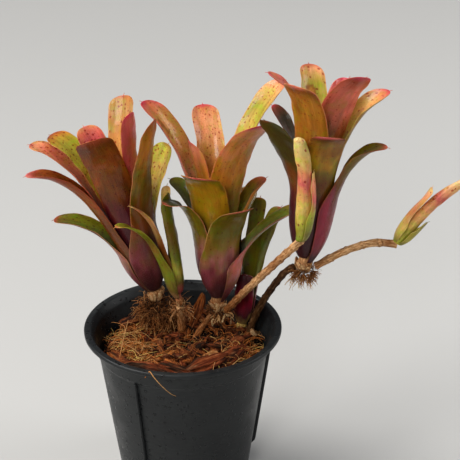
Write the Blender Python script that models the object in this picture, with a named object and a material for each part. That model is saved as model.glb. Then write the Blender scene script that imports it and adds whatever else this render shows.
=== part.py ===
"""Potted bromeliad: three rosettes, a low back rosette and three pups, joined by
runners, in a round black nursery pot of coconut-husk mix.

Frame: origin at the centre of the pot's underside, +Z up, -Y is the front.
All design sizes are in millimetres and degrees; the meshes are in metres.

A leaf is a strip of a surface turned about its rosette's axis.  Its midrib starts
at the crown, swells out to the belly of the sheath cup and then leans away to its
tip.  Leaves are listed from the outermost inwards, and each takes a smaller ring
than the leaves that it overlaps, so the sheaths nest inside each other.
"""
from collections import namedtuple

import bmesh
import bpy
import numpy as np

MM = 0.001
CLEARANCE = 0.4

# ---- mesh fineness --------------------------------------------------------
POT_SIDES = 40
DRAIN_SIDES = 10
MIX_SIDES = 30
MIX_RINGS = 5
CROWN_SIDES = 12
SHOOT_SIDES = 12
TUFT_SIDES = 10
RUNNER_SIDES = 8
RUNNER_POINTS = 12
LEAF_GRID = (11, 7)
SMALL_LEAF_GRID = (9, 5)

# ---- pot ------------------------------------------------------------------
POT_HEIGHT = 90.0
POT_BASE_RADIUS = 34.7
POT_COLLAR_HEIGHT = 77.0
POT_SHOULDER_RADIUS = 45.2
POT_COLLAR_RADIUS = 46.2
POT_NECK_RADIUS = 47.8
POT_RIM_RADIUS = 52.5
POT_LIP_HEIGHT = 2.4
POT_WALL = 1.2
POT_FLOOR = 1.6
POT_EDGE = 0.8
RIB_AZIMUTHS = (-120.0, 0.0, 120.0)
RIB_THICKNESS = 1.2
RIB_PROUD = 2.0
RIB_BOTTOM = 15.0
RIB_EMBED = 0.6
DRAIN_HOLES = 8
DRAIN_RADIUS = 3.2
DRAIN_CIRCLE = 24.0

# ---- potting mix ----------------------------------------------------------
MIX_EDGE_HEIGHT = 74.5
MIX_MOUND = 4.0
MIX_LUMP = 0.6
MIX_WALL_GAP = 0.7
SOCKET_TOP = 6.0

# ---- leaves ---------------------------------------------------------------
LEAF_THICKNESS = 0.7
FOOT_LEAN = 30.0
BELLY_LEAN = 4.0
FOOT_HEIGHT = 1.5
FOOT_RISE = 2.6
FOOT_STEP = 0.28
BELLY_RISE = 1.2
WRAP = 62.0
SHEATH_WIDTH = 1.08
ROOT_INSET = 0.6
STEM_INSET = 0.5

Rosette = namedtuple("Rosette", "base tilt tilt_azimuth crown belly belly_height step root")
Leaf = namedtuple(
    "Leaf",
    "azimuth reach height droop half_width stay channel blunt swing twist",
    defaults=(0.42, 25, 1.0, 0, 0),
)

LEFT = Rosette((-16, 20, 100), 16, 180, 4.2, 12.0, 25, 1.15, 5)
CENTRE = Rosette((18, 16.5, 95), 0, 0, 4.2, 13.5, 25, 1.2, 4.5)
RIGHT = Rosette((63.5, -2, 128), 5, 0, 4.2, 12.5, 36, 1.15, 4.5)
BACK = Rosette((31.5, 23, 77.5), 8, 45, 3.0, 6.0, 20, 1.0, 8)
PUP = Rosette((-2, 9, 100.5), 10, 180, 2.4, 6.0, 18, 1.0, 3.5)
FRONT_SHOOT = Rosette((60, -23.4, 149.8), 5, 0, 2.6, 4.95, 14, 1.0, 0)
SIDE_SHOOT = Rosette((110.5, -2, 138.5), 35, 0, 2.6, 5.0, 11, 1.0, 0)

# azimuth, reach and height of the tip, droop of the tip, half width of the blade
LEFT_LEAVES = [
    Leaf(178, 39, 54, 80, 8.5, stay=0.30, channel=60),
    Leaf(-24, 34, 98, 22, 8, swing=30),
    Leaf(-162, 43, 87, 75, 9, stay=0.26, channel=70),
    Leaf(15, 32, 76, 45, 9, twist=25, channel=30),
    Leaf(170, 39, 96, 60, 8, stay=0.32, channel=45),
    Leaf(-88, 31, 102, 45, 10, blunt=0.8),
    Leaf(78, 29, 82, 30, 6.5),
    Leaf(150, 33, 95, 65, 8, channel=20),
    Leaf(60, 28, 103, 40, 8.5, blunt=0.7),
    Leaf(120, 21, 94, 40, 7.5, stay=0.5),
    Leaf(-30, 23, 104, 15, 7),
]
CENTRE_LEAVES = [
    Leaf(-4, 43, 57, 60, 8.5, stay=0.22, channel=60),
    Leaf(-58, 27, 64, 55, 10, blunt=0.7, swing=20),
    Leaf(-144, 33, 66, 85, 8, channel=50),
    Leaf(55, 32, 56, 55, 7),
    Leaf(160, 26, 68, 60, 8, channel=40),
    Leaf(17, 27, 69, 45, 8, channel=70),
    Leaf(-110, 30, 84, 65, 11, blunt=0.7),
    Leaf(-42, 31, 109, 45, 10, swing=30, twist=-10),
    Leaf(160, 41, 109, 55, 10, channel=55, stay=0.27),
    Leaf(24, 38, 120, 50, 9.5, stay=0.36, channel=42),
    Leaf(104, 31, 102, 50, 8.5, stay=0.55, channel=50, blunt=0.7),
    Leaf(-152, 15, 95, 15, 7.5, swing=-10, channel=35),
]
RIGHT_LEAVES = [
    Leaf(-15, 34, 70, 80, 8.5, stay=0.30, channel=70),
    Leaf(-158, 31, 80, 35, 9, swing=-20, twist=20),
    Leaf(-86, 28, 80, 50, 9, blunt=0.7),
    Leaf(162, 26, 81, 50, 7.5),
    Leaf(12, 33, 94, 60, 9, stay=0.38, channel=60),
    Leaf(-125, 30, 103, 45, 9.5, blunt=0.7, swing=-10),
    Leaf(-36, 21, 106, 45, 9.5, swing=30, twist=-20),
    Leaf(-176, 29, 101, 65, 7),
    Leaf(105, 28, 98, 50, 7.5, stay=0.5, channel=50, blunt=0.8),
    Leaf(45, 17, 97, 25, 7.5, channel=50),
]
BACK_LEAVES = [
    Leaf(-100, 5, 31, 8, 5),
    Leaf(35, 18, 66, 35, 6),
    Leaf(165, 7, 44, 20, 4),
    Leaf(75, 12, 70, 20, 4.5),
]
PUP_LEAVES = [
    Leaf(-145, 27, 54, 80, 4.5, stay=0.26, channel=50),
    Leaf(-25, 6, 62, 10, 5.5),
    Leaf(-142, 17, 62, 50, 3.5),
    Leaf(60, 10, 62, 30, 3),
]
FRONT_BRACT = [Leaf(-15, 2.2, 38, -8, 3.8)]
SIDE_BRACTS = [
    Leaf(-20, 5.4, 19, 5, 3.8),
    Leaf(180, 4.2, 35, 5, 3.6),
]

# ---- closed young shoots: height and radius along the axis, then the bend -------
FRONT_SHOOT_SECTIONS = (
    (1.0, 1.8), (6, 2.8), (12, 3.8), (22, 4.1), (32, 3.3), (38, 3.2), (44, 3.7), (50, 3.6), (53, 2.6))
FRONT_SHOOT_TIP = 55.0
FRONT_SHOOT_BEND = -7.0
SIDE_SHOOT_SECTIONS = (
    (1.0, 1.8), (6, 3.0), (13, 4.2), (24, 4.2), (32, 3.4), (40, 2.8), (45, 1.9))
SIDE_SHOOT_TIP = 48.5
SIDE_SHOOT_BEND = 7.5

# ---- runners: route points in millimetres and tube radius ------------------------
RUNNERS = {
    "runner_mix_to_centre": (((2.5, -1.5, 70), (5, 2, 77.5), (10, 8, 84), (15, 13, 88.2)), 1.6),
    "runner_centre_to_front_shoot": (
        ((23.4, 12.2, 92.0), (28, 7.5, 100), (35.5, 0, 112.5), (48, -13, 132.5), (59.7, -23.1, 148.9)),
        2.1),
    "runner_mix_to_right": (
        ((35.5, 14.5, 68), (36.3, 14.3, 80), (42.2, 11, 97), (52, 3.5, 117), (58.1, -1.0, 124.8)), 1.9),
    "runner_right_to_side_shoot": (
        ((69.6, -2.6, 126.0), (76.5, -4, 131), (87, -4, 136.5), (99, -3, 139.4), (109.4, -2, 137.5)), 2.1),
    "pup_stalk": (((-0.4, 9, 68), (-0.9, 9, 80), (-1.7, 9, 95.8)), 2.2),
}
BURIED_RUNNERS = ("runner_mix_to_centre", "runner_mix_to_right", "pup_stalk")

# ---- root tuft under the right crown: height below the crown, radius --------------
ROOT_TUFT = ((-5.2, 1.6), (-7, 4.2), (-10, 6.0), (-14, 5.2), (-18, 2.2))


# =========================== helpers ===============================================
def clear_scene():
    """Remove every object, so that the file holds only this model."""
    for item in list(bpy.data.objects):
        bpy.data.objects.remove(item, do_unlink=True)


def material(name, colour, roughness):
    """A Principled material with one colour and roughness."""
    made = bpy.data.materials.new(name)
    made.use_nodes = True
    shader = made.node_tree.nodes["Principled BSDF"]
    shader.inputs["Base Color"].default_value = (*colour, 1.0)
    shader.inputs["Roughness"].default_value = roughness
    shader.inputs["Metallic"].default_value = 0.0
    return made


def solid(name, points, faces, finish, smooth_angle=40.0):
    """A closed mesh object; points are in millimetres, and faces are turned outwards."""
    mesh = bpy.data.meshes.new(name)
    mesh.from_pydata([tuple(p) for p in np.asarray(points) * MM], [], faces)
    build = bmesh.new()
    build.from_mesh(mesh)
    bmesh.ops.recalc_face_normals(build, faces=build.faces)
    build.to_mesh(mesh)
    build.free()
    mesh.shade_smooth()
    mesh.set_sharp_from_angle(angle=np.radians(smooth_angle))
    mesh.materials.append(finish)
    item = bpy.data.objects.new(name, mesh)
    bpy.context.scene.collection.objects.link(item)
    return item


def turned_points(profile, sides):
    """Points of a (radius, height) profile turned about Z, one ring after another."""
    angle = np.linspace(0.0, 2 * np.pi, sides, endpoint=False)
    rings = [np.stack([r * np.cos(angle), r * np.sin(angle), np.full(sides, z)], 1) for r, z in profile]
    return np.vstack(rings)


def ring_faces(rings, sides):
    """Quads between neighbouring rings."""
    return [
        (k * sides + i, k * sides + (i + 1) % sides, (k + 1) * sides + (i + 1) % sides, (k + 1) * sides + i)
        for k in range(rings - 1)
        for i in range(sides)
    ]


def end_faces(rings, sides):
    """The two flat polygons that close a stack of rings."""
    return [tuple(range(sides)), tuple(range((rings - 1) * sides, rings * sides))]


def rosette_axes(rosette):
    """Columns are the rosette's own x, y and axis: world axes tilted towards one azimuth."""
    azimuth = np.radians(rosette.tilt_azimuth)
    tilt = np.radians(rosette.tilt)
    hinge = np.array([-np.sin(azimuth), np.cos(azimuth), 0.0])
    columns = [
        v * np.cos(tilt) + np.cross(hinge, v) * np.sin(tilt) + hinge * (hinge @ v) * (1 - np.cos(tilt))
        for v in np.eye(3)
    ]
    return np.stack(columns, 1)


def place(rosette, points):
    """Rosette points (x, y, height above the base) in world millimetres."""
    return points @ rosette_axes(rosette).T + np.array(rosette.base, float)


def cut(target, cutter):
    """Take the cutter out of the target with an exact Boolean, then drop the cutter."""
    combine(target, cutter, "DIFFERENCE")


def join(target, piece):
    """Add the piece to the target with an exact Boolean, then drop the piece."""
    combine(target, piece, "UNION")


def combine(target, other, operation):
    """Apply an exact Boolean of the target with another mesh, then drop the other."""
    step = target.modifiers.new(operation.lower(), "BOOLEAN")
    step.operation = operation
    step.solver = "EXACT"
    step.object = other
    view = bpy.context.evaluated_depsgraph_get()
    mesh = bpy.data.meshes.new_from_object(target.evaluated_get(view))
    target.modifiers.clear()
    target.data = mesh
    bpy.data.objects.remove(other, do_unlink=True)


# =========================== pot and mix ===========================================
def pot_wall_radius(height):
    """Outside radius of the tapering wall below the collar."""
    return POT_BASE_RADIUS + (POT_SHOULDER_RADIUS - POT_BASE_RADIUS) * height / POT_COLLAR_HEIGHT


def make_pot(finish):
    """Turned wall, collar, lip and floor, with three upright ribs and a ring of drain holes."""
    lip_bottom = POT_HEIGHT - POT_LIP_HEIGHT
    profile = [
        (POT_BASE_RADIUS - POT_EDGE, 0.0),
        (POT_BASE_RADIUS, POT_EDGE),
        (POT_SHOULDER_RADIUS, POT_COLLAR_HEIGHT),
        (POT_COLLAR_RADIUS, POT_COLLAR_HEIGHT + 1.0),
        (POT_NECK_RADIUS, lip_bottom),
        (POT_RIM_RADIUS - 0.6, lip_bottom),
        (POT_RIM_RADIUS, lip_bottom + POT_EDGE),
        (POT_RIM_RADIUS - 0.5, POT_HEIGHT - 0.4),
        (POT_RIM_RADIUS - 1.6, POT_HEIGHT),
        (POT_NECK_RADIUS + 0.4, POT_HEIGHT - 0.3),
        (POT_NECK_RADIUS - POT_WALL, lip_bottom - 0.6),
        (POT_SHOULDER_RADIUS - POT_WALL, POT_COLLAR_HEIGHT),
        (POT_BASE_RADIUS - POT_WALL, POT_FLOOR),
    ]
    rings = len(profile)
    faces = ring_faces(rings, POT_SIDES) + end_faces(rings, POT_SIDES)
    pot = solid("pot", turned_points(profile, POT_SIDES), faces, finish, 30.0)
    for azimuth in RIB_AZIMUTHS:
        join(pot, make_rib(azimuth, finish))
    for k in range(DRAIN_HOLES):
        angle = 2 * np.pi * (k + 0.5) / DRAIN_HOLES
        centre = np.array([DRAIN_CIRCLE * np.cos(angle), DRAIN_CIRCLE * np.sin(angle), 0.0])
        points = turned_points([(DRAIN_RADIUS, -POT_FLOOR), (DRAIN_RADIUS, 2 * POT_FLOOR)], DRAIN_SIDES)
        faces = ring_faces(2, DRAIN_SIDES) + end_faces(2, DRAIN_SIDES)
        cut(pot, solid("drain_cutter", points + centre, faces, finish))
    pot.data.materials.clear()
    pot.data.materials.append(finish)
    return pot


def make_rib(azimuth, finish):
    """One upright fin on the wall: a thin plate whose outer edge follows the taper."""
    top = POT_COLLAR_HEIGHT + RIB_EMBED
    half = RIB_THICKNESS / 2
    outline = [
        (pot_wall_radius(RIB_BOTTOM) - RIB_EMBED, RIB_BOTTOM),
        (pot_wall_radius(RIB_BOTTOM) + RIB_PROUD / 2, RIB_BOTTOM),
        (pot_wall_radius(RIB_BOTTOM) + RIB_PROUD, RIB_BOTTOM + RIB_PROUD),
        (pot_wall_radius(top) + RIB_PROUD, top),
        (pot_wall_radius(top) - RIB_EMBED, top),
    ]
    points = [(r, side, z) for side in (-half, half) for r, z in outline]
    turn = np.radians(azimuth)
    spin = np.array([[np.cos(turn), -np.sin(turn), 0], [np.sin(turn), np.cos(turn), 0], [0, 0, 1]])
    count = len(outline)
    faces = [tuple(range(count)), tuple(range(count, 2 * count))]
    faces += [(i, (i + 1) % count, count + (i + 1) % count, count + i) for i in range(count)]
    return solid("rib", np.array(points) @ spin.T, faces, finish)


def mix_height(x, y):
    """Height of the mix: a low mound with gentle lumps, lowest at the pot's wall."""
    reach = np.hypot(x, y) / (POT_SHOULDER_RADIUS - POT_WALL)
    lumps = np.sin(x / 5.1 + 0.7) * np.cos(y / 4.3 - 0.4)
    return MIX_EDGE_HEIGHT + MIX_MOUND * (1 - reach ** 2) + MIX_LUMP * lumps


def make_mix(finish, runners):
    """The filling of the pot, with sockets where the runners go in."""
    floor_z = POT_FLOOR + CLEARANCE
    floor_r = POT_BASE_RADIUS - POT_WALL - MIX_WALL_GAP
    edge_r = pot_wall_radius(MIX_EDGE_HEIGHT) - POT_WALL - MIX_WALL_GAP
    points = [turned_points([(floor_r, floor_z)], MIX_SIDES)]
    for k in range(MIX_RINGS):
        ring = turned_points([(edge_r * (1 - k / MIX_RINGS), 0.0)], MIX_SIDES)
        ring[:, 2] = mix_height(ring[:, 0], ring[:, 1])
        points.append(ring)
    points.append(np.array([[0.0, 0.0, mix_height(0.0, 0.0)]]))
    rings = MIX_RINGS + 1
    peak = rings * MIX_SIDES
    faces = ring_faces(rings, MIX_SIDES) + [tuple(range(MIX_SIDES))]
    faces += [(peak - MIX_SIDES + i, peak - MIX_SIDES + (i + 1) % MIX_SIDES, peak) for i in range(MIX_SIDES)]
    mix = solid("potting_mix", np.vstack(points), faces, finish)
    for name in BURIED_RUNNERS:
        route, radius = runners[name]
        cut(mix, make_runner("socket_cutter", deepened(route), radius + CLEARANCE, finish))
    socket = BACK.crown - ROOT_INSET + CLEARANCE
    back = turned_points([(socket, -BACK.root - CLEARANCE), (socket, SOCKET_TOP)], CROWN_SIDES)
    faces = ring_faces(2, CROWN_SIDES) + end_faces(2, CROWN_SIDES)
    cut(mix, solid("socket_cutter", place(BACK, back), faces, finish))
    mix.data.materials.clear()
    mix.data.materials.append(finish)
    return mix


def deepened(route):
    """The same route, with its buried end carried on a little, for a socket with clearance."""
    first, second = np.array(route[0], float), np.array(route[1], float)
    away = (first - second) / np.linalg.norm(first - second)
    return (tuple(first + away * CLEARANCE), *route[1:])


# =========================== plant =================================================
def bezier(points, count):
    """Cubic Bezier curve through the first and last of four points."""
    t = np.linspace(0.0, 1.0, count)[:, None]
    a, b, c, d = points
    return (1 - t) ** 3 * a + 3 * (1 - t) ** 2 * t * b + 3 * (1 - t) * t ** 2 * c + t ** 3 * d


def lean(degrees):
    """Unit step in (radius, height) that leans away from the axis by an angle."""
    return np.array([np.sin(np.radians(degrees)), np.cos(np.radians(degrees))])


def ease(x):
    """Smooth step from 0 to 1."""
    x = np.clip(x, 0.0, 1.0)
    return x * x * (3 - 2 * x)


def midrib(rosette, leaf, ring):
    """(radius, height) curve of a midrib, its lengths, and the length at the belly."""
    foot = np.array([rosette.crown - FOOT_STEP * ring, FOOT_HEIGHT + FOOT_RISE * ring])
    belly = np.array([rosette.belly - rosette.step * ring, rosette.belly_height + BELLY_RISE * ring])
    tip = np.array([leaf.reach, leaf.height], float)
    low = np.linalg.norm(belly - foot)
    high = np.linalg.norm(tip - belly)
    sheath = bezier(
        [foot, foot + 0.35 * low * lean(FOOT_LEAN), belly - 0.45 * low * lean(BELLY_LEAN), belly], 80)
    blade = bezier(
        [belly, belly + leaf.stay * high * lean(BELLY_LEAN), tip - 0.35 * high * lean(leaf.droop), tip], 160)
    curve = np.vstack([sheath, blade[1:]])
    length = np.r_[0.0, np.cumsum(np.linalg.norm(np.diff(curve, axis=0), axis=1))]
    return curve, length, length[len(sheath) - 1]


def leaf_faces_points(rosette, leaf, ring, rows, columns):
    """Outer and inner face of a leaf as (rows, columns, 3) grids in world millimetres.

    The cross-section is an arc that wraps the axis in the sheath and opens to the
    blade's own channel; swing turns the tip's azimuth, and twist rolls the blade.
    """
    curve, length, belly_at = midrib(rosette, leaf, ring)
    total = length[-1]
    cap = leaf.blunt * leaf.half_width
    cap_rows = max(3, rows // 4)
    stations = np.r_[
        np.linspace(0.0, total - cap, rows - cap_rows),
        (total - cap) + cap * np.sin(np.linspace(0.0, np.pi / 2, cap_rows + 1))[1:],
    ]
    radius = np.interp(stations, length, curve[:, 0])
    height = np.interp(stations, length, curve[:, 1])
    out_step = np.interp(stations, length, np.gradient(curve[:, 0], length))
    up_step = np.interp(stations, length, np.gradient(curve[:, 1], length))
    size = np.hypot(out_step, up_step)
    out_step, up_step = out_step / size, up_step / size

    narrowing = ease((stations - 0.9 * belly_at) / (0.25 * total))
    sheath_half = SHEATH_WIDTH * (rosette.belly - rosette.step * ring)
    rounding = np.sqrt(1 - np.clip((stations - (total - cap)) / cap, 0.0, 1.0) ** 2)
    half = (sheath_half * (1 - narrowing) + leaf.half_width * narrowing) * rounding
    half = np.minimum(half, np.radians(WRAP) * radius)

    along = np.clip((stations - belly_at) / (total - belly_at), 0.0, 1.0)
    azimuth = np.radians(leaf.azimuth + leaf.swing * (along ** 1.5 - 1))
    twist = np.radians(leaf.twist) * ease(1.3 * along)
    free = ease(1.6 * along)
    arc = 1 / ((1 - free) / radius + free * np.radians(leaf.channel) / leaf.half_width)

    across = np.linspace(-1.0, 1.0, columns)[None, :]
    angle = across * (half / arc)[:, None]
    side = arc[:, None] * np.sin(angle)
    sag = arc[:, None] * (1 - np.cos(angle))
    inward = sag * up_step[:, None]
    cos_t, sin_t = np.cos(twist)[:, None], np.sin(twist)[:, None]
    side, inward = side * cos_t - inward * sin_t, side * sin_t + inward * cos_t

    zero = np.zeros_like(azimuth)
    radial = np.stack([np.cos(azimuth), np.sin(azimuth), zero], 1)
    lateral = np.stack([-np.sin(azimuth), np.cos(azimuth), zero], 1)
    axial = np.array([0.0, 0.0, 1.0])
    tangent = out_step[:, None] * radial + up_step[:, None] * axial
    upper = -up_step[:, None] * radial + out_step[:, None] * axial
    spine = radius[:, None] * radial + height[:, None] * axial
    sheet = (
        spine[:, None, :]
        + side[..., None] * lateral[:, None, :]
        + inward[..., None] * upper[:, None, :]
        - (sag * out_step[:, None])[..., None] * tangent[:, None, :]
    )
    normal = np.cross(np.gradient(sheet, axis=1), np.gradient(sheet, axis=0))
    size = np.linalg.norm(normal, axis=-1, keepdims=True)
    normal = normal / np.where(size == 0, 1.0, size)
    normal *= np.sign(np.sum(normal[1:-1] * upper[1:-1, None, :]))
    thick = LEAF_THICKNESS * np.sqrt(1 - across ** 2) * rounding[:, None]
    outer = place(rosette, sheet - normal * thick[..., None] / 2)
    inner = place(rosette, sheet + normal * thick[..., None] / 2)
    return outer, inner


def ring_numbers(leaves):
    """Ring of each leaf: one more than the ring of every earlier leaf that it overlaps."""
    rings = []
    for leaf in leaves:
        ring = 0
        for earlier, taken in zip(leaves, rings):
            gap = (leaf.azimuth - leaf.swing) - (earlier.azimuth - earlier.swing)
            if abs((gap + 180) % 360 - 180) < 2 * WRAP + 4:
                ring = max(ring, taken + 1)
        rings.append(ring)
    return rings


def make_leaf(name, rosette, leaf, ring, rows, columns, finish):
    """A closed leaf: two faces that meet along both margins and at the tip."""
    outer, inner = leaf_faces_points(rosette, leaf, ring, rows, columns)
    grid = np.arange((rows - 1) * columns).reshape(rows - 1, columns)
    points = list(outer[:-1].reshape(-1, 3))
    back = grid.copy()
    for i in range(rows - 1):
        for j in range(1, columns - 1):
            back[i, j] = len(points)
            points.append(inner[i, j])
    tip = len(points)
    points.append(outer[-1, columns // 2])
    faces = []
    for j in range(columns - 1):
        for i in range(rows - 2):
            faces.append((grid[i, j], grid[i, j + 1], grid[i + 1, j + 1], grid[i + 1, j]))
            faces.append((back[i, j + 1], back[i, j], back[i + 1, j], back[i + 1, j + 1]))
        faces.append((grid[-1, j], grid[-1, j + 1], tip))
        faces.append((back[-1, j + 1], back[-1, j], tip))
        foot = [grid[0, j + 1], grid[0, j], back[0, j], back[0, j + 1]]
        faces.append(tuple(dict.fromkeys(foot)))
    return solid(name, points, [tuple(int(v) for v in f) for f in faces], finish)


def make_rosette(prefix, rosette, leaves, grid, finish):
    """All the leaves of one rosette, numbered from the outermost."""
    for k, (leaf, ring) in enumerate(zip(leaves, ring_numbers(leaves)), start=1):
        name = prefix if len(leaves) == 1 else f"{prefix}_{k}"
        make_leaf(name, rosette, leaf, ring, *grid, finish)


def make_crown(name, rosette, leaves, finish):
    """The short stem inside the leaf feet, with a plain root below them."""
    top_ring = max(ring_numbers(leaves))
    top = FOOT_HEIGHT + FOOT_RISE * top_ring
    root_radius = rosette.crown - ROOT_INSET
    stem = rosette.crown - STEM_INSET - LEAF_THICKNESS / 2 - CLEARANCE / 2
    profile = [
        (root_radius, -rosette.root),
        (root_radius, -0.2),
        (stem, 1.0),
        (stem - FOOT_STEP * top_ring, top),
        (0.35 * stem, top + FOOT_HEIGHT),
    ]
    rings = len(profile)
    points = place(rosette, turned_points(profile, CROWN_SIDES))
    return solid(name, points, ring_faces(rings, CROWN_SIDES) + end_faces(rings, CROWN_SIDES), finish)


def make_shoot(name, rosette, sections, tip, bend, finish):
    """A closed young shoot: round sections up a gently bent axis, closed at a point."""
    sides = SHOOT_SIDES
    profile = [(radius, height) for height, radius in sections]
    points = turned_points(profile, sides)
    points[:, 0] += bend * (points[:, 2] / tip) ** 3
    points = np.vstack([points, [[bend, 0.0, tip]]])
    rings = len(sections)
    last = rings * sides
    faces = ring_faces(rings, sides) + [tuple(range(sides))]
    faces += [(last - sides + i, last - sides + (i + 1) % sides, last) for i in range(sides)]
    return solid(name, place(rosette, points), faces, finish)


def smooth_route(route, count):
    """Catmull-Rom curve through the route's points, read at even steps of its parameter."""
    knots = np.array(route, float)
    knots = np.vstack([2 * knots[0] - knots[1], knots, 2 * knots[-1] - knots[-2]])
    out = []
    for s in np.linspace(0.0, len(route) - 1.000001, count):
        k = int(s)
        t = s - k
        a, b, c, d = knots[k:k + 4]
        out.append(0.5 * (2 * b + (c - a) * t + (2 * a - 5 * b + 4 * c - d) * t ** 2
                          + (3 * b - a - 3 * c + d) * t ** 3))
    return np.array(out)


def make_runner(name, route, radius, finish):
    """A round tube along a smooth route, with flat ends."""
    path = smooth_route(route, RUNNER_POINTS)
    tangent = np.gradient(path, axis=0)
    tangent /= np.linalg.norm(tangent, axis=1, keepdims=True)
    first = np.cross(tangent, [0.0, 1.0, 0.0])
    first /= np.linalg.norm(first, axis=1, keepdims=True)
    second = np.cross(tangent, first)
    angle = np.linspace(0.0, 2 * np.pi, RUNNER_SIDES, endpoint=False)
    ring = np.cos(angle)[:, None] * first[:, None, :] + np.sin(angle)[:, None] * second[:, None, :]
    points = (path[:, None, :] + radius * ring).reshape(-1, 3)
    faces = ring_faces(RUNNER_POINTS, RUNNER_SIDES) + end_faces(RUNNER_POINTS, RUNNER_SIDES)
    return solid(name, points, faces, finish)


def make_root_tuft(finish):
    """The knot of roots that hangs under the right crown."""
    profile = [(radius, height) for height, radius in ROOT_TUFT]
    points = place(RIGHT, turned_points(profile, TUFT_SIDES))
    rings = len(ROOT_TUFT)
    faces = ring_faces(rings, TUFT_SIDES) + end_faces(rings, TUFT_SIDES)
    return solid("right_root_tuft", points, faces, finish)


def main():
    clear_scene()
    plastic = material("pot_plastic", (0.022, 0.024, 0.025), 0.35)
    husk = material("husk_mix", (0.28, 0.15, 0.06), 0.9)
    olive = material("leaf_olive", (0.30, 0.24, 0.05), 0.3)
    salmon = material("leaf_salmon", (0.60, 0.28, 0.12), 0.3)
    amber = material("leaf_amber", (0.42, 0.22, 0.06), 0.3)
    green = material("leaf_green", (0.24, 0.30, 0.05), 0.3)
    purple = material("leaf_purple", (0.16, 0.02, 0.05), 0.3)
    bark = material("runner_bark", (0.50, 0.33, 0.18), 0.8)
    cream = material("shoot_cream", (0.66, 0.55, 0.28), 0.4)

    make_pot(plastic)
    make_mix(husk, RUNNERS)
    make_rosette("left_leaf", LEFT, LEFT_LEAVES, LEAF_GRID, amber)
    make_rosette("centre_leaf", CENTRE, CENTRE_LEAVES, LEAF_GRID, salmon)
    make_rosette("right_leaf", RIGHT, RIGHT_LEAVES, LEAF_GRID, olive)
    make_rosette("back_leaf", BACK, BACK_LEAVES, SMALL_LEAF_GRID, purple)
    make_rosette("pup_leaf", PUP, PUP_LEAVES, SMALL_LEAF_GRID, green)
    make_rosette("front_shoot_bract", FRONT_SHOOT, FRONT_BRACT, SMALL_LEAF_GRID, cream)
    make_rosette("side_shoot_bract", SIDE_SHOOT, SIDE_BRACTS, SMALL_LEAF_GRID, cream)
    make_crown("left_crown", LEFT, LEFT_LEAVES, bark)
    make_crown("centre_crown", CENTRE, CENTRE_LEAVES, bark)
    make_crown("right_crown", RIGHT, RIGHT_LEAVES, bark)
    make_crown("back_crown", BACK, BACK_LEAVES, bark)
    make_crown("pup_crown", PUP, PUP_LEAVES, bark)
    make_shoot("front_shoot", FRONT_SHOOT, FRONT_SHOOT_SECTIONS, FRONT_SHOOT_TIP, FRONT_SHOOT_BEND, cream)
    make_shoot("side_shoot", SIDE_SHOOT, SIDE_SHOOT_SECTIONS, SIDE_SHOOT_TIP, SIDE_SHOOT_BEND, cream)
    for name, (route, radius) in RUNNERS.items():
        make_runner(name, route, radius, bark)
    make_root_tuft(bark)


main()
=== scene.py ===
"""Potted bromeliad: the finished look of every leaf, runner, root, chip and the pot.

Every shape is worked out in millimetres as whole numpy arrays, on a grid of two
parameters or as a profile carried along a path, and becomes a mesh in metres.
The frame has its origin at the centre of the pot's underside, +Z up, -Y the front.

Three attributes go with each surface: tint (its own colour), grain (how far a point
is across and along the growth, in millimetres, for patterns that follow it) and
marks (its shares of dark spots and of pale scurf).
"""
from collections import namedtuple

import bpy
import numpy as np
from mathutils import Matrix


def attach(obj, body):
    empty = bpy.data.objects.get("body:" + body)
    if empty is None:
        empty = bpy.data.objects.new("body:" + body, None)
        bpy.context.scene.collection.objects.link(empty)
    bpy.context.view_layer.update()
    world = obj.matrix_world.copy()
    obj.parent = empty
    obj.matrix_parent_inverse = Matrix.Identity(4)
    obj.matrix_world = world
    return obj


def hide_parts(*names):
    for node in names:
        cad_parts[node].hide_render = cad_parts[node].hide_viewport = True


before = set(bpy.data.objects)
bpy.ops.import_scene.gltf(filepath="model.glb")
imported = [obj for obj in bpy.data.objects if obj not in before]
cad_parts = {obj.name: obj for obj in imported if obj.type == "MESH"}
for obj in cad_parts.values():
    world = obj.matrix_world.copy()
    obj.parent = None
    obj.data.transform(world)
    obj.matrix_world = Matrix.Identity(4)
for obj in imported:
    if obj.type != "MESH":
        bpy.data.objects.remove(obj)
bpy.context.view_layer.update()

MM = 0.001
TAU = 2 * np.pi

# =========================== the plant's design ====================================
# All lengths in millimetres and angles in degrees
LEAF_THICKNESS = 0.62
FOOT_LEAN, BELLY_LEAN = 30.0, 4.0          # of the sheath, outwards from the rosette's axis
FOOT_HEIGHT, FOOT_RISE = 1.5, 2.6          # of the innermost foot, and per ring outwards
FOOT_STEP, BELLY_RISE = 0.28, 1.2          # in radius and in height, per ring
WRAP = 62.0                                # furthest a sheath reaches round to each side
SHEATH_WIDTH = 1.08                        # half width of a sheath in belly radii
ROOT_INSET, STEM_INSET = 0.6, 0.5          # of the crown inside the leaf feet
SPINE_LENGTH, SPINE_WIDTH = 1.7, 0.42      # of the point at a leaf's tip

Rosette = namedtuple("Rosette", "base tilt tilt_azimuth crown belly belly_height step root")
Leaf = namedtuple(
    "Leaf",
    "azimuth reach height droop half_width stay channel blunt swing twist",
    defaults=(0.42, 25, 1.0, 0, 0),
)
Look = namedtuple("Look", "outer inner edge tip spots flute", defaults=(0.24,))

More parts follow.
